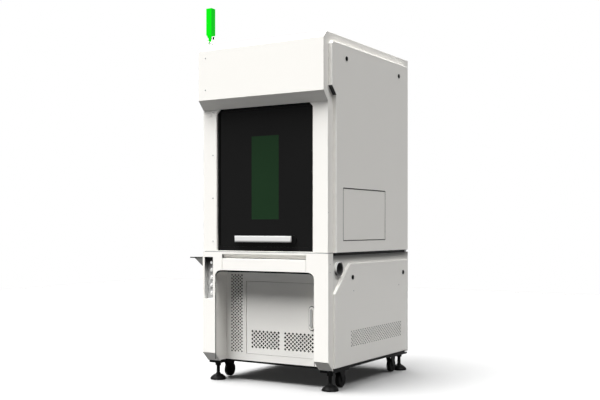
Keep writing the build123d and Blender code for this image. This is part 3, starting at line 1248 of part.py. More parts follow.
with BuildPart() as scan_head:
    with BuildSketch(top(ARM_TOP_Z)):
        with Locations((0, HEAD_MID_Y)):
            Rectangle(HEAD_SIZE, HEAD_SIZE)
    extrude(amount=HEAD_SIZE)
    chamfer(scan_head.edges().filter_by(Axis.X).group_by(Axis.Y)[0], length=HEAD_CHAMFER)
save(scan_head, "scan_head")

with BuildPart() as f_theta_lens:
    with BuildSketch(top(ARM_TOP_Z)):
        with Locations((0, HEAD_MID_Y)):
            Circle(LENS_RADIUS)
    extrude(amount=-LENS_LENGTH)
    chamfer(f_theta_lens.edges().group_by(Axis.Z)[0], length=4)
save(f_theta_lens, "f_theta_lens")

# Industrial computer on the floor of the lower cabinet
with BuildPart() as industrial_computer:
    with BuildSketch(top(PC_FLOOR_Z)):
        span(-PC_WIDTH / 2, PC_WIDTH / 2, PC_FRONT_Y, PC_FRONT_Y + PC_DEPTH)
    extrude(amount=PC_HEIGHT)
    with BuildSketch(front(PC_FRONT_Y)):
        span(-PC_WIDTH / 2 - PC_EAR, PC_WIDTH / 2 + PC_EAR, PC_FLOOR_Z, PC_FLOOR_Z + PC_HEIGHT)
    extrude(amount=PC_PANEL)
save(industrial_computer, "industrial_computer")
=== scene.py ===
import bpy
import bmesh
import json
import math
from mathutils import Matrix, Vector

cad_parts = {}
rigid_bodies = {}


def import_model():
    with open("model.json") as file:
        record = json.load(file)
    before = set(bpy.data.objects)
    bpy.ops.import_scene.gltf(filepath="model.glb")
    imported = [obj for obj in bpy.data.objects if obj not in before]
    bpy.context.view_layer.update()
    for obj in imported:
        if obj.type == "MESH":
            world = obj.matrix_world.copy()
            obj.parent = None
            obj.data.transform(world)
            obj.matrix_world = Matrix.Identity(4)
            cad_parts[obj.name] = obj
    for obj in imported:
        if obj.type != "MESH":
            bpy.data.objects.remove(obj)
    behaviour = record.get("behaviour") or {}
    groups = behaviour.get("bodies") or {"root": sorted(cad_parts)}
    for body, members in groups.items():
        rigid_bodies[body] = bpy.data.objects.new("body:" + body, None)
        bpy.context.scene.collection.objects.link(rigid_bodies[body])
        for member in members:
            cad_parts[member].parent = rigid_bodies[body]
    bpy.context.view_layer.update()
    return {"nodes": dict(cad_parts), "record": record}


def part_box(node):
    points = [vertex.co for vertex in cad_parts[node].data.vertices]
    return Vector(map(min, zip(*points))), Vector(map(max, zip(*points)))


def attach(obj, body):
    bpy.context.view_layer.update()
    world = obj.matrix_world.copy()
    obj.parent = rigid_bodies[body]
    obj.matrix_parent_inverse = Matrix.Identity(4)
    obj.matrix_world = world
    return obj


for leftover in list(bpy.data.objects):
    bpy.data.objects.remove(leftover)
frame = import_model()
NODES = frame["nodes"]
MM = 0.001

# The cabinet's own millimetres: x from the middle of the body, y from the upper front face, z from the floor
FRAME_LOW, FRAME_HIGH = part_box("upper_front_frame")
BODY_X = (FRAME_LOW[0] + FRAME_HIGH[0]) / 2
BODY_Y = FRAME_LOW[1]


def at(x, y, z):
    """A point of the cabinet in millimetres as a point of the frame in metres."""
    return Vector((BODY_X + x * MM, BODY_Y + y * MM, z * MM))


def corners(node):
    """Low and high corner of a node's box, in the cabinet's millimetres."""
    return [((x - BODY_X) / MM, (y - BODY_Y) / MM, z / MM) for x, y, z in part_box(node)]


def centre(node):
    """Middle of a node's box, in the cabinet's millimetres."""
    low, high = corners(node)
    return [(a + b) / 2 for a, b in zip(low, high)]


# Faces that the scene's own pieces lie on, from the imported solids
BODY_SIDE = corners("upper_cabinet_body")[1][0]
FRAME_SIDE = corners("lower_front_frame")[1][0]
UPPER_PANEL_SIDE = corners("upper_side_panel_right")[1][0]
LOWER_PANEL_SIDE = corners("lower_side_panel_right")[1][0]
HOOD_FACE_Y = corners("front_hood")[0][1]
DOOR_FACE_Y = corners("cabinet_door")[0][1]
STRIP_LOW, STRIP_HIGH = corners("vent_strip")
SHELF_LOW, SHELF_HIGH = corners("side_shelf")
PORT_CENTRE = centre("fume_port")
LOCK_CENTRE = centre("cabinet_lock_body")
LAMP_CENTRE = centre("signal_lamp")
LAMP_TOP_Z = corners("signal_lamp")[1][2]

# Green window in the middle of the lift door's pane
WINDOW_HALF = 85.0
WINDOW_Z = (876.0, 1314.5)

# Black sheets behind the vents, painted shade inside them: reach of each field, and how far behind the
# sheet's outer face it lies
SIDE_VENT_Y = (200, 850)
SIDE_VENT_Z = (195, 315)
SIDE_VENT_SHADE_BEHIND = (5.0, 3.5)
DOOR_VENT_X = (-158, 256)
DOOR_VENT_Z = (174, 290)
DOOR_VENT_SHADE_BEHIND = (2.2, 3.0)
STRIP_VENT_SHADE_BEHIND = (3.3, 4.5)
STRIP_VENT_SHADE_INSET_X = 2.5
STRIP_VENT_SHADE_INSET_Z = 3.0

# Black strip on the front of the side shelf, painted shadow under its plate
SHELF_SHADOW_THICK = 0.8
SHELF_SHADOW_HEIGHT = 5.5
SHELF_SHADOW_TIP = 1.0
SHELF_SHADOW_ROOT = 0.5

# Black strip in the seam between the two cabinets, on the right side: painted shade of the seam
SEAM_OUT = (0.2, 1.8)
SEAM_Y = (49, 903)
SEAM_Z = (690, 704)

# Dark lines round the access hatch, painted shade of its gap: the hatch's opening, and each line's near and
# far edge outside it
HATCH_Y = (120.5, 601.4)
HATCH_Z = (768.5, 1032)
HATCH_LINE_OUT = (0.05, 0.4)
HATCH_LINE_TOP = (0.6, 5)
HATCH_LINE_BOTTOM = (0.6, 4)
HATCH_LINE_FRONT = (0.6, 3)
HATCH_LINE_REAR = (0.8, 3)
HATCH_LINE_PAST_LOW = 2
HATCH_LINE_PAST_HIGH = 3

# Signal lamp: lens shroud round the solid lamp, and the cap and screw on the ear
LENS_HALF = 17.75
LENS_FOOT_Z = 1877.5
LENS_TOP_DROP = 0.1
LENS_ROUND = 1.0
EAR_FACE_X = -338.5
EAR_Z = 1861
EAR_CAP_PROFILE = ((12, 0), (12, 2), (11, 3))
EAR_SCREW_PROFILE = ((7, 0), (7, 3.5), (5, 4.5))
CAP_SIDES = 28

# Black strip round the knee opening, painted shade along its edge: its widths are fitted to the dark line
# seen there
KNEE_HALF = 310.5
KNEE_TOP_Z = 604.0
KNEE_ROUND = 37.0
KNEE_FOOT_Z = 122.0
KNEE_ARC_STEPS = 8
KNEE_SHADE_CLEAR = 0.1
KNEE_SHADE_SIDE_WIDTH = 2.0
KNEE_SHADE_TOP_WIDTH = 8.0
KNEE_SHADE_FRONT_Y = 1.5
KNEE_SHADE_THICK = 2.5

# Dark rim round the lock of the cabinet door, painted shadow round its escutcheon
LOCK_RIM_HALF = 18.5
LOCK_RIM_REACH = 46.0
LOCK_RIM_Y = (103.6, 104.8)
LOCK_ARC_STEPS = 12

# Cover screws: a pan head with a dimple, whose profile is in shares of the head's radius
SCREW_PROFILE = ((1.0, 0.0), (1.0, 0.25), (0.8, 0.5), (0.42, 0.58), (0.36, 0.3))
SCREW_SIDES = 20
FRONT_SCREW_RADIUS = 3.5
SIDE_SCREW_RADIUS = 2.2
PANEL_SCREW_RADIUS = 3.0
STILE_SCREW_X = -325.6
STILE_SCREW_Z = (760, 992, 1224, 1454)
HOOD_SCREW_X = -343.5
HOOD_SCREW_Z = (1572, 1744)
FRAME_SCREW_PLACES = ((16, 648), (16, 608))
BODY_SCREW_PLACES = ((65, 609), (5, 908))
PANEL_SCREW_PLACES = ((245, 503), (795, 505.6))
FORWARD = (0, -1, 0)
RIGHT = (1, 0, 0)

# Edge rounding of the sheet-metal nodes
ROUNDED = {
    "lower_front_frame": 1.6,
    "upper_front_frame": 1.6,
    "front_hood": 1.6,
    "drawer_front": 0.8,
    "upper_cabinet_body": 1.2,
    "door_handle_bar": 1.2,
    "cabinet_door": 0.5,
    "access_hatch": 1.2,
}
ROUND_SEGMENTS = 2
ROUND_ANGLE = math.radians(40)
WELD_DISTANCE = 0.00001

# Heights between which a coat is graded, from its dark end to its light end. The grades stand in for shade
HANDLE_GRADE = (757, 768)
POCKET_GRADE = (672, 560)
SHEET_GRADE = (700, 640)

# Painted highlight on the fume port's ring: where it starts and ends, in metres up and forward of its centre
PORT_EDGE = (0.012, 0.034)


def grey(level):
    """A colour without tint."""
    return (level, level, level)


# Colours: each pair is the two tones of one surface
WARM_WHITE = ((0.90, 0.884, 0.845), (0.885, 0.868, 0.828))
COAT_BLACK = (grey(0.004), grey(0.007))
HOUSING_GREY = ((0.10, 0.11, 0.12), (0.13, 0.14, 0.15))
# Side shelf: dark grey as painted shade
SHELF_SHADE_GREY = ((0.16, 0.16, 0.155), (0.13, 0.13, 0.125))
ROLLED_STEEL = ((0.45, 0.46, 0.47), (0.32, 0.33, 0.34))
BRIGHT_ALUMINIUM = ((0.86, 0.86, 0.85), (0.72, 0.72, 0.71))
CAP_STEEL = ((0.86, 0.86, 0.84), (0.74, 0.74, 0.72))
NYLON_BLACK = (grey(0.005), grey(0.009))
RUBBER_BLACK = (grey(0.006), grey(0.010))
LEVER_TONES = ((0.42, 0.42, 0.41), (0.36, 0.36, 0.35))
PALE_TONES = ((0.82, 0.82, 0.80), (0.78, 0.78, 0.76))
PANE_BLACK = (grey(0.0065), grey(0.0085))
PANE_GREEN = ((0.008, 0.026, 0.010), (0.012, 0.034, 0.014))
# Lamp: glow of its front and rear, the weaker glow of its side walls as painted shade, and its body
LAMP_BRIGHT = ((0.0, 0.93, 0.004), (0.001, 0.88, 0.006))
LAMP_SIDE_SHADE = ((0.003, 0.52, 0.012), (0.004, 0.48, 0.014))
LAMP_BODY = ((0.0, 0.06, 0.001), (0.0, 0.05, 0.001))
LENS_TINTS = ((0.05, 0.06, 0.09), (0.08, 0.05, 0.10))
# Fume port ring: its dark tone and its painted highlight
PORT_TONES = (grey(0.10), (0.92, 0.92, 0.90))
# Door handle: dark and light ends of painted shade
HANDLE_TONES = ((0.20, 0.20, 0.197), (0.70, 0.70, 0.69))
# Button pocket: dark and light ends of painted shade
POCKET_TONES = (grey(0.012), (0.62, 0.62, 0.61))
# Recessed sheet metal: dark and light ends of painted shade
SHEET_TONES = ((0.10, 0.10, 0.097), (0.80, 0.787, 0.755))
UNDERSIDE_TONE = grey(0.03)

# Grain of the surfaces, as noise scales per metre
CLOUDS = 3.0
PATCHES = 14.0
PEEL_GRAIN = 900.0
PLASTIC_GRAIN = 1500.0
RUBBER_GRAIN = 700.0
PLASTIC_CLOUDS = 40.0
PLASTIC_PATCHES = 60.0
BRUSH_ACROSS = 260.0
BRUSH_ALONG = 6.0
LAMP_RIBS = [30.0, 30.0, 300.0]

# How fast the lamp's glow falls towards its side walls, as painted shade, and the upward share below which a
# face looks down
LAMP_SIDE_FALL = 3.0
LOOKS_DOWN = -0.5

# Camera: the photo's own place, level, with its small shift
CAMERA_PLACE = (2645.7, -3964.2, 828.4)
CAMERA_HEADING = math.radians(31.4)
CAMERA_LEVEL = math.radians(90)
CAMERA_LENS = 54.674
CAMERA_SENSOR = 36.0
CAMERA_SHIFT = 0.0474
CAMERA_REACH = 100.0

# Floor and world: pale to the camera. The floor throws little light back, so that the knee recess stays dark
FLOOR_SIZE = 14.0
FLOOR_SPECKS = 6.0
FLOOR_SPECK_TONE = (0.98, 1.0)
FLOOR_BOUNCE = 0.045
FLOOR_SEEN = 0.3
FLOOR_GLOW = 0.02
WORLD_LEVEL = 0.14
WORLD_GLOSS = 0.6


# Sockets of the colour mixing node
COLOR_A, COLOR_B, COLOR_RESULT = 6, 7, 2


# Node helpers for materials
def new_material(name):
    mat = bpy.data.materials.new(name)
    mat.use_nodes = True
    tree = mat.node_tree
    return mat, tree, tree.nodes["Principled BSDF"]


def math_node(tree, operation, first, second=None):
    """One step of arithmetic on numbers or sockets."""
    node = tree.nodes.new("ShaderNodeMath")
    node.operation = operation
    for index, value in enumerate((first, second)):
        if value is None:
            continue
        if isinstance(value, (int, float)):
            node.inputs[index].default_value = value
        else:
            tree.links.new(value, node.inputs[index])
    return node.outputs[0]


def local_coordinates(tree):
    return tree.nodes.new("ShaderNodeTexCoord").outputs["Object"]


def local_normal(tree):
    return tree.nodes.new("ShaderNodeTexCoord").outputs["Normal"]


def split(tree, vector):
    """The x, y and z of a vector, as sockets by name."""
    node = tree.nodes.new("ShaderNodeSeparateXYZ")
    tree.links.new(vector, node.inputs[0])
    return node.outputs


def noise(tree, coordinates, scale, detail=3.0, stretch=None):
    """Noise in metres of the object, stretched by a vector if asked."""
    if stretch:
        mapping = tree.nodes.new("ShaderNodeMapping")
        mapping.inputs["Scale"].default_value = stretch
        tree.links.new(coordinates, mapping.inputs["Vector"])
        coordinates = mapping.outputs["Vector"]
    node = tree.nodes.new("ShaderNodeTexNoise")
    node.inputs["Scale"].default_value = scale
    node.inputs["Detail"].default_value = detail
    tree.links.new(coordinates, node.inputs["Vector"])
    return node.outputs["Fac"]


def between(tree, factor, low, high):
    """Map a 0..1 value to a range."""
    node = tree.nodes.new("ShaderNodeMapRange")
    node.inputs["To Min"].default_value = low
    node.inputs["To Max"].default_value = high
    tree.links.new(factor, node.inputs["Value"])
    return node.outputs["Result"]


def rise_between(tree, value, low, high, shape="LINEAR"):
    """A factor that goes from 0 to 1 while a value goes from low to high."""
    node = tree.nodes.new("ShaderNodeMapRange")
    node.inputs["From Min"].default_value = low
    node.inputs["From Max"].default_value = high
    node.interpolation_type = shape
    tree.links.new(value, node.inputs["Value"])
    return node.outputs["Result"]


def blend_colors(tree, factor, first, second):
    """Mix two colours or colour sockets by a factor."""
    node = tree.nodes.new("ShaderNodeMix")
    node.data_type = "RGBA"
    tree.links.new(factor, node.inputs["Factor"])
    for socket, value in ((node.inputs[COLOR_A], first), (node.inputs[COLOR_B], second)):
        if hasattr(value, "is_linked"):
            tree.links.new(value, socket)
        else:
            socket.default_value = (*value, 1.0)
    return node.outputs[COLOR_RESULT]


def roughen(tree, shader, factor, low, high):
    tree.links.new(between(tree, factor, low, high), shader.inputs["Roughness"])


def bump(tree, shader, height, strength, distance):
    node = tree.nodes.new("ShaderNodeBump")
    node.inputs["Strength"].default_value = strength
    node.inputs["Distance"].default_value = distance
    tree.links.new(height, node.inputs["Height"])
    tree.links.new(node.outputs["Normal"], shader.inputs["Normal"])


# Materials
def powder_coat(name, tones, rough, peel=0.08, gloss=0.5):
    """Powder coat: cloudy tone, uneven gloss and a fine orange peel."""
    mat, tree, shader = new_material(name)
    where = local_coordinates(tree)
    cloud = noise(tree, where, CLOUDS, detail=4.0)
    tree.links.new(blend_colors(tree, cloud, *tones), shader.inputs["Base Color"])
    roughen(tree, shader, noise(tree, where, PATCHES), *rough)
    shader.inputs["Specular IOR Level"].default_value = gloss
    bump(tree, shader, noise(tree, where, PEEL_GRAIN, detail=2.0), peel, distance=0.0004)
    return mat


def brushed(name, tones, rough, along):
    """Brushed or rolled metal with fine lines along one axis, given by its number."""
    mat, tree, shader = new_material(name)
    stretch = [BRUSH_ACROSS] * 3
    stretch[along] = BRUSH_ALONG
    lines = noise(tree, local_coordinates(tree), scale=4.0, detail=5.0, stretch=stretch)
    tree.links.new(blend_colors(tree, lines, *tones), shader.inputs["Base Color"])
    roughen(tree, shader, lines, rough - 0.08, rough + 0.1)
    shader.inputs["Metallic"].default_value = 1.0
    bump(tree, shader, lines, strength=0.12, distance=0.0003)
    return mat


def plastic(name, tones, rough, grain=PLASTIC_GRAIN, gloss=0.5):
    """Moulded plastic or rubber with a fine grain."""
    mat, tree, shader = new_material(name)
    where = local_coordinates(tree)
    cloud = noise(tree, where, PLASTIC_CLOUDS)
    tree.links.new(blend_colors(tree, cloud, *tones), shader.inputs["Base Color"])
    roughen(tree, shader, noise(tree, where, PLASTIC_PATCHES), rough - 0.06, rough + 0.06)
    shader.inputs["Specular IOR Level"].default_value = gloss
    bump(tree, shader, noise(tree, where, grain, detail=2.0), strength=0.15, distance=0.0002)
    return mat


def door_pane():
    """Dark laser-safe pane with a greener window in its middle."""
    mat, tree, shader = new_material("dark_pane")
    where = local_coordinates(tree)
    place = split(tree, where)
    aside = math_node(tree, "ABSOLUTE", math_node(tree, "SUBTRACT", place["X"], BODY_X))
    inside = math_node(tree, "LESS_THAN", aside, WINDOW_HALF * MM)
    above = math_node(tree, "GREATER_THAN", place["Z"], WINDOW_Z[0] * MM)
    below = math_node(tree, "LESS_THAN", place["Z"], WINDOW_Z[1] * MM)
    window = math_node(tree, "MULTIPLY", math_node(tree, "MULTIPLY", inside, above), below)
    cloud = noise(tree, where, scale=2.0)
    dark = blend_colors(tree, cloud, *PANE_BLACK)
    green = blend_colors(tree, cloud, *PANE_GREEN)
    tree.links.new(blend_colors(tree, window, dark, green), shader.inputs["Base Color"])
    roughen(tree, shader, noise(tree, where, scale=8.0), low=0.10, high=0.18)
    shader.inputs["Specular IOR Level"].default_value = 0.08
    return mat


def lamp_green():
    """Lit green diffuser whose side walls glow less than its front and rear, as painted shade."""
    mat, tree, shader = new_material("lit_green")
    turned_aside = math_node(tree, "ABSOLUTE", split(tree, local_normal(tree))["X"])
    side = math_node(tree, "POWER", turned_aside, LAMP_SIDE_FALL)
    ribs = noise(tree, local_coordinates(tree), scale=3.0, detail=2.0, stretch=LAMP_RIBS)
    bright = blend_colors(tree, ribs, *LAMP_BRIGHT)
    side_shade = blend_colors(tree, ribs, *LAMP_SIDE_SHADE)
    tree.links.new(blend_colors(tree, side, bright, side_shade), shader.inputs["Emission Color"])
    tree.links.new(blend_colors(tree, ribs, *LAMP_BODY), shader.inputs["Base Color"])
    shader.inputs["Emission Strength"].default_value = 0.95
    shader.inputs["Roughness"].default_value = 0.5
    shader.inputs["Specular IOR Level"].default_value = 0.05
    return mat


def coated_lens():
    """Lens glass with a dark, clear-coated tint."""
    mat, tree, shader = new_material("coated_lens")
    tint = blend_colors(tree, noise(tree, local_coordinates(tree), scale=30.0), *LENS_TINTS)
    tree.links.new(tint, shader.inputs["Base Color"])
    shader.inputs["Roughness"].default_value = 0.08
    shader.inputs["Coat Weight"].default_value = 0.6
    return mat


def graded_coat(name, grade, tones, rough):
    """A coat whose tone changes with height, in place of the shade that the photo shows on it."""
    mat, tree, shader = new_material(name)
    where = local_coordinates(tree)
    low, high = grade
    rise = rise_between(tree, split(tree, where)["Z"], low * MM, high * MM, "SMOOTHSTEP")
    tree.links.new(blend_colors(tree, rise, *tones), shader.inputs["Base Color"])
    roughen(tree, shader, noise(tree, where, scale=30.0), rough - 0.05, rough + 0.05)
    shader.inputs["Specular IOR Level"].default_value = 0.2
    bump(tree, shader, noise(tree, where, PEEL_GRAIN, detail=2.0), strength=0.1, distance=0.0003)
    return mat


def port_metal():
    """Dark ring with a bright upper front edge, in place of the highlight that the photo shows there."""
    mat, tree, shader = new_material("port_metal")
    where = local_coordinates(tree)
    place = split(tree, where)
    across = math_node(tree, "SUBTRACT", place["Z"], place["Y"])
    middle = at(*PORT_CENTRE)
    start = middle.z - middle.y
    rise = rise_between(tree, across, start + PORT_EDGE[0], start + PORT_EDGE[1])
    tree.links.new(blend_colors(tree, rise, *PORT_TONES), shader.inputs["Base Color"])
    roughen(tree, shader, noise(tree, where, scale=90.0), low=0.25, high=0.4)
    shader.inputs["Metallic"].default_value = 0.3
    return mat


def darken_undersides(mat):
    """Darken the faces of a panel that look down, in place of the shade that the photo shows there."""
    tree = mat.node_tree
    base = tree.nodes["Principled BSDF"].inputs["Base Color"]
    coat = base.links[0].from_socket
    down = math_node(tree, "LESS_THAN", split(tree, local_normal(tree))["Z"], LOOKS_DOWN)
    tree.links.new(blend_colors(tree, down, coat, UNDERSIDE_TONE), base)
    return mat


WHITE = powder_coat("white_coat", WARM_WHITE, rough=(0.36, 0.46), gloss=0.35)
BLACK = powder_coat("black_coat", COAT_BLACK, rough=(0.35, 0.5), peel=0.15, gloss=0.05)
STEEL = brushed("rolled_steel", ROLLED_STEEL, rough=0.4, along=1)
NYLON = plastic("black_nylon", NYLON_BLACK, rough=0.45, gloss=0.06)
RUBBER = plastic("black_rubber", RUBBER_BLACK, rough=0.65, grain=RUBBER_GRAIN, gloss=0.06)
PALE = plastic("pale_plastic", PALE_TONES, rough=0.4)
GREEN = lamp_green()
UNDERSHADED = darken_undersides(powder_coat("undershaded_white", WARM_WHITE, rough=(0.34, 0.46), gloss=0.35))
SHEET_SHADED_WHITE = graded_coat("sheet_painted_shade", SHEET_GRADE, SHEET_TONES, rough=0.48)

FINISHES = {
    "white_paint": WHITE,
    "black_paint": BLACK,
    "galvanised_steel": STEEL,
    "anodised_aluminium": brushed("brushed_aluminium", BRIGHT_ALUMINIUM, rough=0.32, along=0),
    "housing_paint": powder_coat("housing_coat", HOUSING_GREY, rough=(0.4, 0.5)),
    "dark_pane": door_pane(),
    "lens_glass": coated_lens(),
    "lamp_green": GREEN,
    "pale_plastic": PALE,
    "button_steel": brushed("button_cap", CAP_STEEL, rough=0.28, along=2),
    "black_plastic": NYLON,
    "wheel_rubber": RUBBER,
}
OWN_FINISHES = {
    "fume_port": port_metal(),
    "upper_side_panel_right": UNDERSHADED,
    "upper_side_panel_left": UNDERSHADED,
    "door_handle_bar": graded_coat("handle_painted_shade", HANDLE_GRADE, HANDLE_TONES, rough=0.4),
    "button_panel": graded_coat("pocket_painted_shade", POCKET_GRADE, POCKET_TONES, rough=0.6),
    "side_shelf": powder_coat("shelf_painted_shade", SHELF_SHADE_GREY, rough=(0.5, 0.6), gloss=0.2),
    "lower_cabinet_body": SHEET_SHADED_WHITE,
    "cabinet_door": SHEET_SHADED_WHITE,
    "vent_strip": SHEET_SHADED_WHITE,
    "cabinet_lock_handle": plastic("lever_grey", LEVER_TONES, rough=0.45),
}

for entry in frame["record"]["subparts"]:
    node = NODES[entry["node"]]
    node.data.materials.clear()
    node.data.materials.append(OWN_FINISHES.get(entry["node"]) or FINISHES[entry["material_slot"]])


def soften(node, width):
    """Weld a mesh and round its edges a little, as bent sheet is."""
    weld = node.modifiers.new("weld", "WELD")
    weld.merge_threshold = WELD_DISTANCE
    bevel = node.modifiers.new("round", "BEVEL")
    bevel.width = width * MM
    bevel.segments = ROUND_SEGMENTS
    bevel.limit_method = "ANGLE"
    bevel.angle_limit = ROUND_ANGLE


for name, width in ROUNDED.items():
    soften(NODES[name], width)


# Mesh helpers for the small pieces
def add_piece(name, bm, mat, body):
    """Make a piece from bm, with its material, on a body."""
    mesh = bpy.data.meshes.new(name)
    bm.to_mesh(mesh)
    bm.free()
    piece = bpy.data.objects.new(name, mesh)
    bpy.context.scene.collection.objects.link(piece)
    piece.data.materials.append(mat)
    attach(piece, body)
    return piece


def turned(bm, place, direction, profile, sides):
    """Body of revolution in bm: profile is (radius, height) in millimetres from the base."""
    turn = Vector((0, 0, 1)).rotation_difference(Vector(direction)).to_matrix().to_4x4()
    rings = []
    for radius, height in profile:
        ring = []
        for i in range(sides):
            angle = 2 * math.pi * i / sides
            local = Vector((radius * math.cos(angle), radius * math.sin(angle), height)) * MM
            ring.append(bm.verts.new(place + turn @ local))
        rings.append(ring)
    for low, high in zip(rings, rings[1:]):
        for i in range(sides):
            j = (i + 1) % sides
            bm.faces.new((low[i], low[j], high[j], high[i]))
    bm.faces.new(list(reversed(rings[0])))
    bm.faces.new(rings[-1])


def screw_set(name, places, direction, radius):
    """Steel pan-head screws, as one piece."""
    bm = bmesh.new()
    profile = [(radius * out, radius * up) for out, up in SCREW_PROFILE]
    for place in places:
        turned(bm, at(*place), direction, profile, SCREW_SIDES)
    return add_piece(name, bm, STEEL, "root")


def round_cap(name, place, profile, mat):
    """A round cap that faces right."""
    bm = bmesh.new()
    turned(bm, at(*place), RIGHT, profile, CAP_SIDES)
    return add_piece(name, bm, mat, "root")


def slab(name, low, high, mat, body="root"):
    """A thin plate between two corners of the cabinet."""
    near, far = at(*low), at(*high)
    bm = bmesh.new()
    bmesh.ops.create_cube(bm, size=1.0)
    for vertex in bm.verts:
        vertex.co = Vector(a * b for a, b in zip(vertex.co, far - near)) + (near + far) / 2
    return add_piece(name, bm, mat, body)


# Black sheets behind the vents, painted shade inside them
slab(
    "side_vent_painted_shade",
    (LOWER_PANEL_SIDE - SIDE_VENT_SHADE_BEHIND[0], SIDE_VENT_Y[0], SIDE_VENT_Z[0]),
    (LOWER_PANEL_SIDE - SIDE_VENT_SHADE_BEHIND[1], SIDE_VENT_Y[1], SIDE_VENT_Z[1]),
    BLACK,
)
slab(
    "door_vent_painted_shade",
    (DOOR_VENT_X[0], DOOR_FACE_Y + DOOR_VENT_SHADE_BEHIND[0], DOOR_VENT_Z[0]),
    (DOOR_VENT_X[1], DOOR_FACE_Y + DOOR_VENT_SHADE_BEHIND[1], DOOR_VENT_Z[1]),
    BLACK, "cabinet_door",
)
slab(
    "strip_vent_painted_shade",
    (
        STRIP_LOW[0] + STRIP_VENT_SHADE_INSET_X,
        STRIP_LOW[1] + STRIP_VENT_SHADE_BEHIND[0],
        STRIP_LOW[2] + STRIP_VENT_SHADE_INSET_Z,
    ),
    (
        STRIP_HIGH[0] - STRIP_VENT_SHADE_INSET_X,
        STRIP_LOW[1] + STRIP_VENT_SHADE_BEHIND[1],
        STRIP_HIGH[2] - STRIP_VENT_SHADE_INSET_Z,
    ),
    BLACK,
)

# Painted shadow under the side shelf's plate, and painted shade in the seam between the cabinets
slab(
    "shelf_painted_shadow",
    (SHELF_LOW[0] + SHELF_SHADOW_TIP, SHELF_LOW[1] - SHELF_SHADOW_THICK, SHELF_HIGH[2] - SHELF_SHADOW_HEIGHT),
    (SHELF_HIGH[0] - SHELF_SHADOW_ROOT, SHELF_LOW[1], SHELF_HIGH[2]),
    BLACK,
)
slab(
    "seam_painted_shade",
    (BODY_SIDE + SEAM_OUT[0], SEAM_Y[0], SEAM_Z[0]),
    (BODY_SIDE + SEAM_OUT[1], SEAM_Y[1], SEAM_Z[1]),
    BLACK,
)

# Four dark lines round the access hatch, painted shade of its gap
LINE_Z = (HATCH_Z[0] - HATCH_LINE_PAST_LOW, HATCH_Z[1] + HATCH_LINE_PAST_HIGH)
for name, y_range, z_range in (
    ("hatch_line_top", HATCH_Y, [HATCH_Z[1] + edge for edge in HATCH_LINE_TOP]),
    ("hatch_line_bottom", HATCH_Y, [HATCH_Z[0] - edge for edge in reversed(HATCH_LINE_BOTTOM)]),
    ("hatch_line_front", [HATCH_Y[0] - edge for edge in reversed(HATCH_LINE_FRONT)], LINE_Z),
    ("hatch_line_rear", [HATCH_Y[1] + edge for edge in HATCH_LINE_REAR], LINE_Z),
):
    slab(
        name,
        (UPPER_PANEL_SIDE + HATCH_LINE_OUT[0], y_range[0], z_range[0]),
        (UPPER_PANEL_SIDE + HATCH_LINE_OUT[1], y_range[1], z_range[1]),
        RUBBER,
    )

# Lens of the signal lamp
lens = slab(
    "lamp_lens",
    (LAMP_CENTRE[0] - LENS_HALF, LAMP_CENTRE[1] - LENS_HALF, LENS_FOOT_Z),
    (LAMP_CENTRE[0] + LENS_HALF, LAMP_CENTRE[1] + LENS_HALF, LAMP_TOP_Z - LENS_TOP_DROP),
    GREEN, "signal_lamp",
)
soften(lens, LENS_ROUND)


def knee_arch(inset, drop):
    """Points of the knee opening's edge, moved inwards and down, from the left foot to the right foot."""
    points = [(inset - KNEE_HALF, KNEE_FOOT_Z)]
    for side, start in ((-1, 180), (1, 90)):
        for step in range(KNEE_ARC_STEPS + 1):
            angle = math.radians(start - 90 * step / KNEE_ARC_STEPS)
            across = side * (KNEE_HALF - KNEE_ROUND) + (KNEE_ROUND - inset) * math.cos(angle)
            points.append((across, KNEE_TOP_Z - KNEE_ROUND + (KNEE_ROUND - drop) * math.sin(angle)))
    points.append((KNEE_HALF - inset, KNEE_FOOT_Z))
    return points


def knee_painted_shade():
    """Black strip round the knee opening, painted shade along its edge."""
    bm = bmesh.new()
    outer = knee_arch(KNEE_SHADE_CLEAR, KNEE_SHADE_CLEAR)
    inner = knee_arch(KNEE_SHADE_SIDE_WIDTH, KNEE_SHADE_TOP_WIDTH)
    front, rear = KNEE_SHADE_FRONT_Y, KNEE_SHADE_FRONT_Y + KNEE_SHADE_THICK
    rows = []
    for arch, y in ((outer, front), (inner, front), (inner, rear), (outer, rear)):
        rows.append([bm.verts.new(at(x, y, z)) for x, z in arch])
    for first, second in zip(rows, rows[1:] + rows[:1]):
        for i in range(len(outer) - 1):
            bm.faces.new((first[i], first[i + 1], second[i + 1], second[i]))
    for end in (0, -1):
        bm.faces.new([row[end] for row in rows])
    bmesh.ops.recalc_face_normals(bm, faces=bm.faces)
    return add_piece("knee_painted_shade", bm, RUBBER, "root")


def lock_painted_shadow():
    """Dark rim, painted shadow that shows as a thin line round the lock's escutcheon."""
    bm = bmesh.new()
    rings = []
    for y in LOCK_RIM_Y:
        ring = []
        for end, start in ((1, 0), (-1, 180)):
            for step in range(LOCK_ARC_STEPS + 1):
                angle = math.radians(start + 180 * step / LOCK_ARC_STEPS)
                x = LOCK_CENTRE[0] + LOCK_RIM_HALF * math.cos(angle)
                z = LOCK_CENTRE[2] + end * LOCK_RIM_REACH + LOCK_RIM_HALF * math.sin(angle)
                ring.append(bm.verts.new(at(x, y, z)))
        rings.append(ring)
    near, far = rings
    for i in range(len(near)):
        j = (i + 1) % len(near)
        bm.faces.new((near[i], near[j], far[j], far[i]))
    bm.faces.new(near)
    bm.faces.new(far)
    bmesh.ops.recalc_face_normals(bm, faces=bm.faces)
    return add_piece("lock_painted_shadow", bm, RUBBER, "cabinet_door")


knee_painted_shade()
lock_painted_shadow()

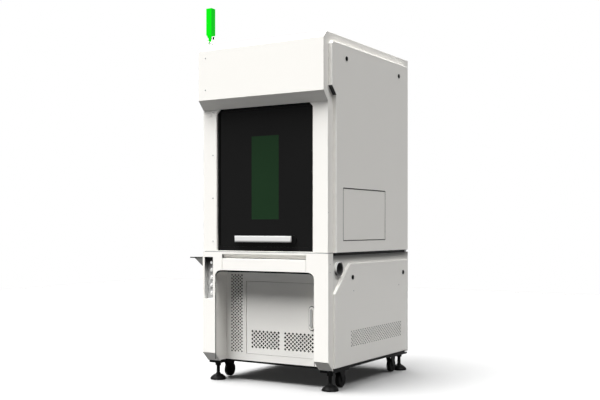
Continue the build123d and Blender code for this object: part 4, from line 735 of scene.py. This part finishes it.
# Cover screws, and the cap and screw on the lamp's ear
EAR_PLACE = (EAR_FACE_X, LAMP_CENTRE[1], EAR_Z)
STILE_SCREWS = [(STILE_SCREW_X, 0, z) for z in STILE_SCREW_Z]
HOOD_SCREWS = [(HOOD_SCREW_X, HOOD_FACE_Y, z) for z in HOOD_SCREW_Z]
FRAME_SCREWS = [(FRAME_SIDE, y, z) for y, z in FRAME_SCREW_PLACES]
BODY_SCREWS = [(BODY_SIDE, y, z) for y, z in BODY_SCREW_PLACES]
PANEL_SCREWS = [(LOWER_PANEL_SIDE, y, z) for y, z in PANEL_SCREW_PLACES]
screw_set("stile_screws", STILE_SCREWS, FORWARD, FRONT_SCREW_RADIUS)
screw_set("hood_screws", HOOD_SCREWS, FORWARD, FRONT_SCREW_RADIUS)
round_cap("ear_cap", EAR_PLACE, EAR_CAP_PROFILE, PALE)
round_cap("ear_screw", EAR_PLACE, EAR_SCREW_PROFILE, RUBBER)
screw_set("side_screws", FRAME_SCREWS + BODY_SCREWS, RIGHT, SIDE_SCREW_RADIUS)
screw_set("panel_screws", PANEL_SCREWS, RIGHT, PANEL_SCREW_RADIUS)

# Camera
camera_data = bpy.data.cameras.new("camera")
camera_data.lens = CAMERA_LENS
camera_data.sensor_width = CAMERA_SENSOR
camera_data.shift_y = CAMERA_SHIFT
camera_data.clip_end = CAMERA_REACH
camera = bpy.data.objects.new("camera", camera_data)
camera.location = at(*CAMERA_PLACE)
camera.rotation_euler = (CAMERA_LEVEL, 0, CAMERA_HEADING)
bpy.context.scene.collection.objects.link(camera)
bpy.context.scene.camera = camera


# Floor
def floor_material():
    """Matte floor with faint specks, pale to the camera and dark to all other light."""
    mat, tree, _ = new_material("pale_floor")
    tree.nodes.clear()
    path = tree.nodes.new("ShaderNodeLightPath")
    seen = math_node(tree, "MAXIMUM", path.outputs["Is Camera Ray"], path.outputs["Is Glossy Ray"])
    seen = math_node(tree, "MAXIMUM", seen, path.outputs["Is Transmission Ray"])
    specks = noise(tree, local_coordinates(tree), FLOOR_SPECKS)
    tone = between(tree, seen, FLOOR_BOUNCE, FLOOR_SEEN)
    level = math_node(tree, "MULTIPLY", between(tree, specks, *FLOOR_SPECK_TONE), tone)
    matte = tree.nodes.new("ShaderNodeBsdfDiffuse")
    tree.links.new(level, matte.inputs["Color"])
    glow = tree.nodes.new("ShaderNodeEmission")
    tree.links.new(math_node(tree, "MULTIPLY", seen, FLOOR_GLOW), glow.inputs["Strength"])
    both = tree.nodes.new("ShaderNodeAddShader")
    tree.links.new(matte.outputs[0], both.inputs[0])
    tree.links.new(glow.outputs[0], both.inputs[1])
    out = tree.nodes.new("ShaderNodeOutputMaterial")
    tree.links.new(both.outputs[0], out.inputs["Surface"])
    return mat


floor_mesh = bpy.data.meshes.new("floor")
bm = bmesh.new()
bmesh.ops.create_grid(bm, x_segments=1, y_segments=1, size=FLOOR_SIZE / 2)
bm.to_mesh(floor_mesh)
bm.free()
floor = bpy.data.objects.new("floor", floor_mesh)
bpy.context.scene.collection.objects.link(floor)
floor_mesh.materials.append(floor_material())

# World: plain, and white to the camera and through glass
world = bpy.data.worlds.new("studio")
bpy.context.scene.world = world
world.use_nodes = True
tree = world.node_tree
background = tree.nodes["Background"]
path = tree.nodes.new("ShaderNodeLightPath")
sky = between(tree, path.outputs["Is Glossy Ray"], WORLD_LEVEL, WORLD_GLOSS)
plain = math_node(tree, "MAXIMUM", path.outputs["Is Camera Ray"], path.outputs["Is Transmission Ray"])
tree.links.new(math_node(tree, "MAXIMUM", sky, plain), background.inputs["Strength"])
background.inputs["Color"].default_value = (1, 1, 1, 1)


def sun(name, come_from, energy, spread):
    """Distant light from a direction, soft by its spread in degrees."""
    data = bpy.data.lights.new(name, "SUN")
    data.energy = energy
    data.angle = math.radians(spread)
    light = bpy.data.objects.new(name, data)
    light.rotation_euler = Vector(come_from).to_track_quat("Z", "Y").to_euler()
    bpy.context.scene.collection.objects.link(light)


# Light: a steep soft key from above the front, a fill on the right side and a soft one from behind. The front
# gets about the written level, the right side a third of it, and faces that look up four times as much
sun("key", come_from=(-0.25, -0.33, 0.91), energy=8.3, spread=42)
sun("side_fill", come_from=(0.47, -0.1, 0.87), energy=2.2, spread=26)
sun("back", come_from=(-0.3, 0.4, 0.87), energy=4.0, spread=50)

bpy.context.scene.view_settings.view_transform = "Standard"
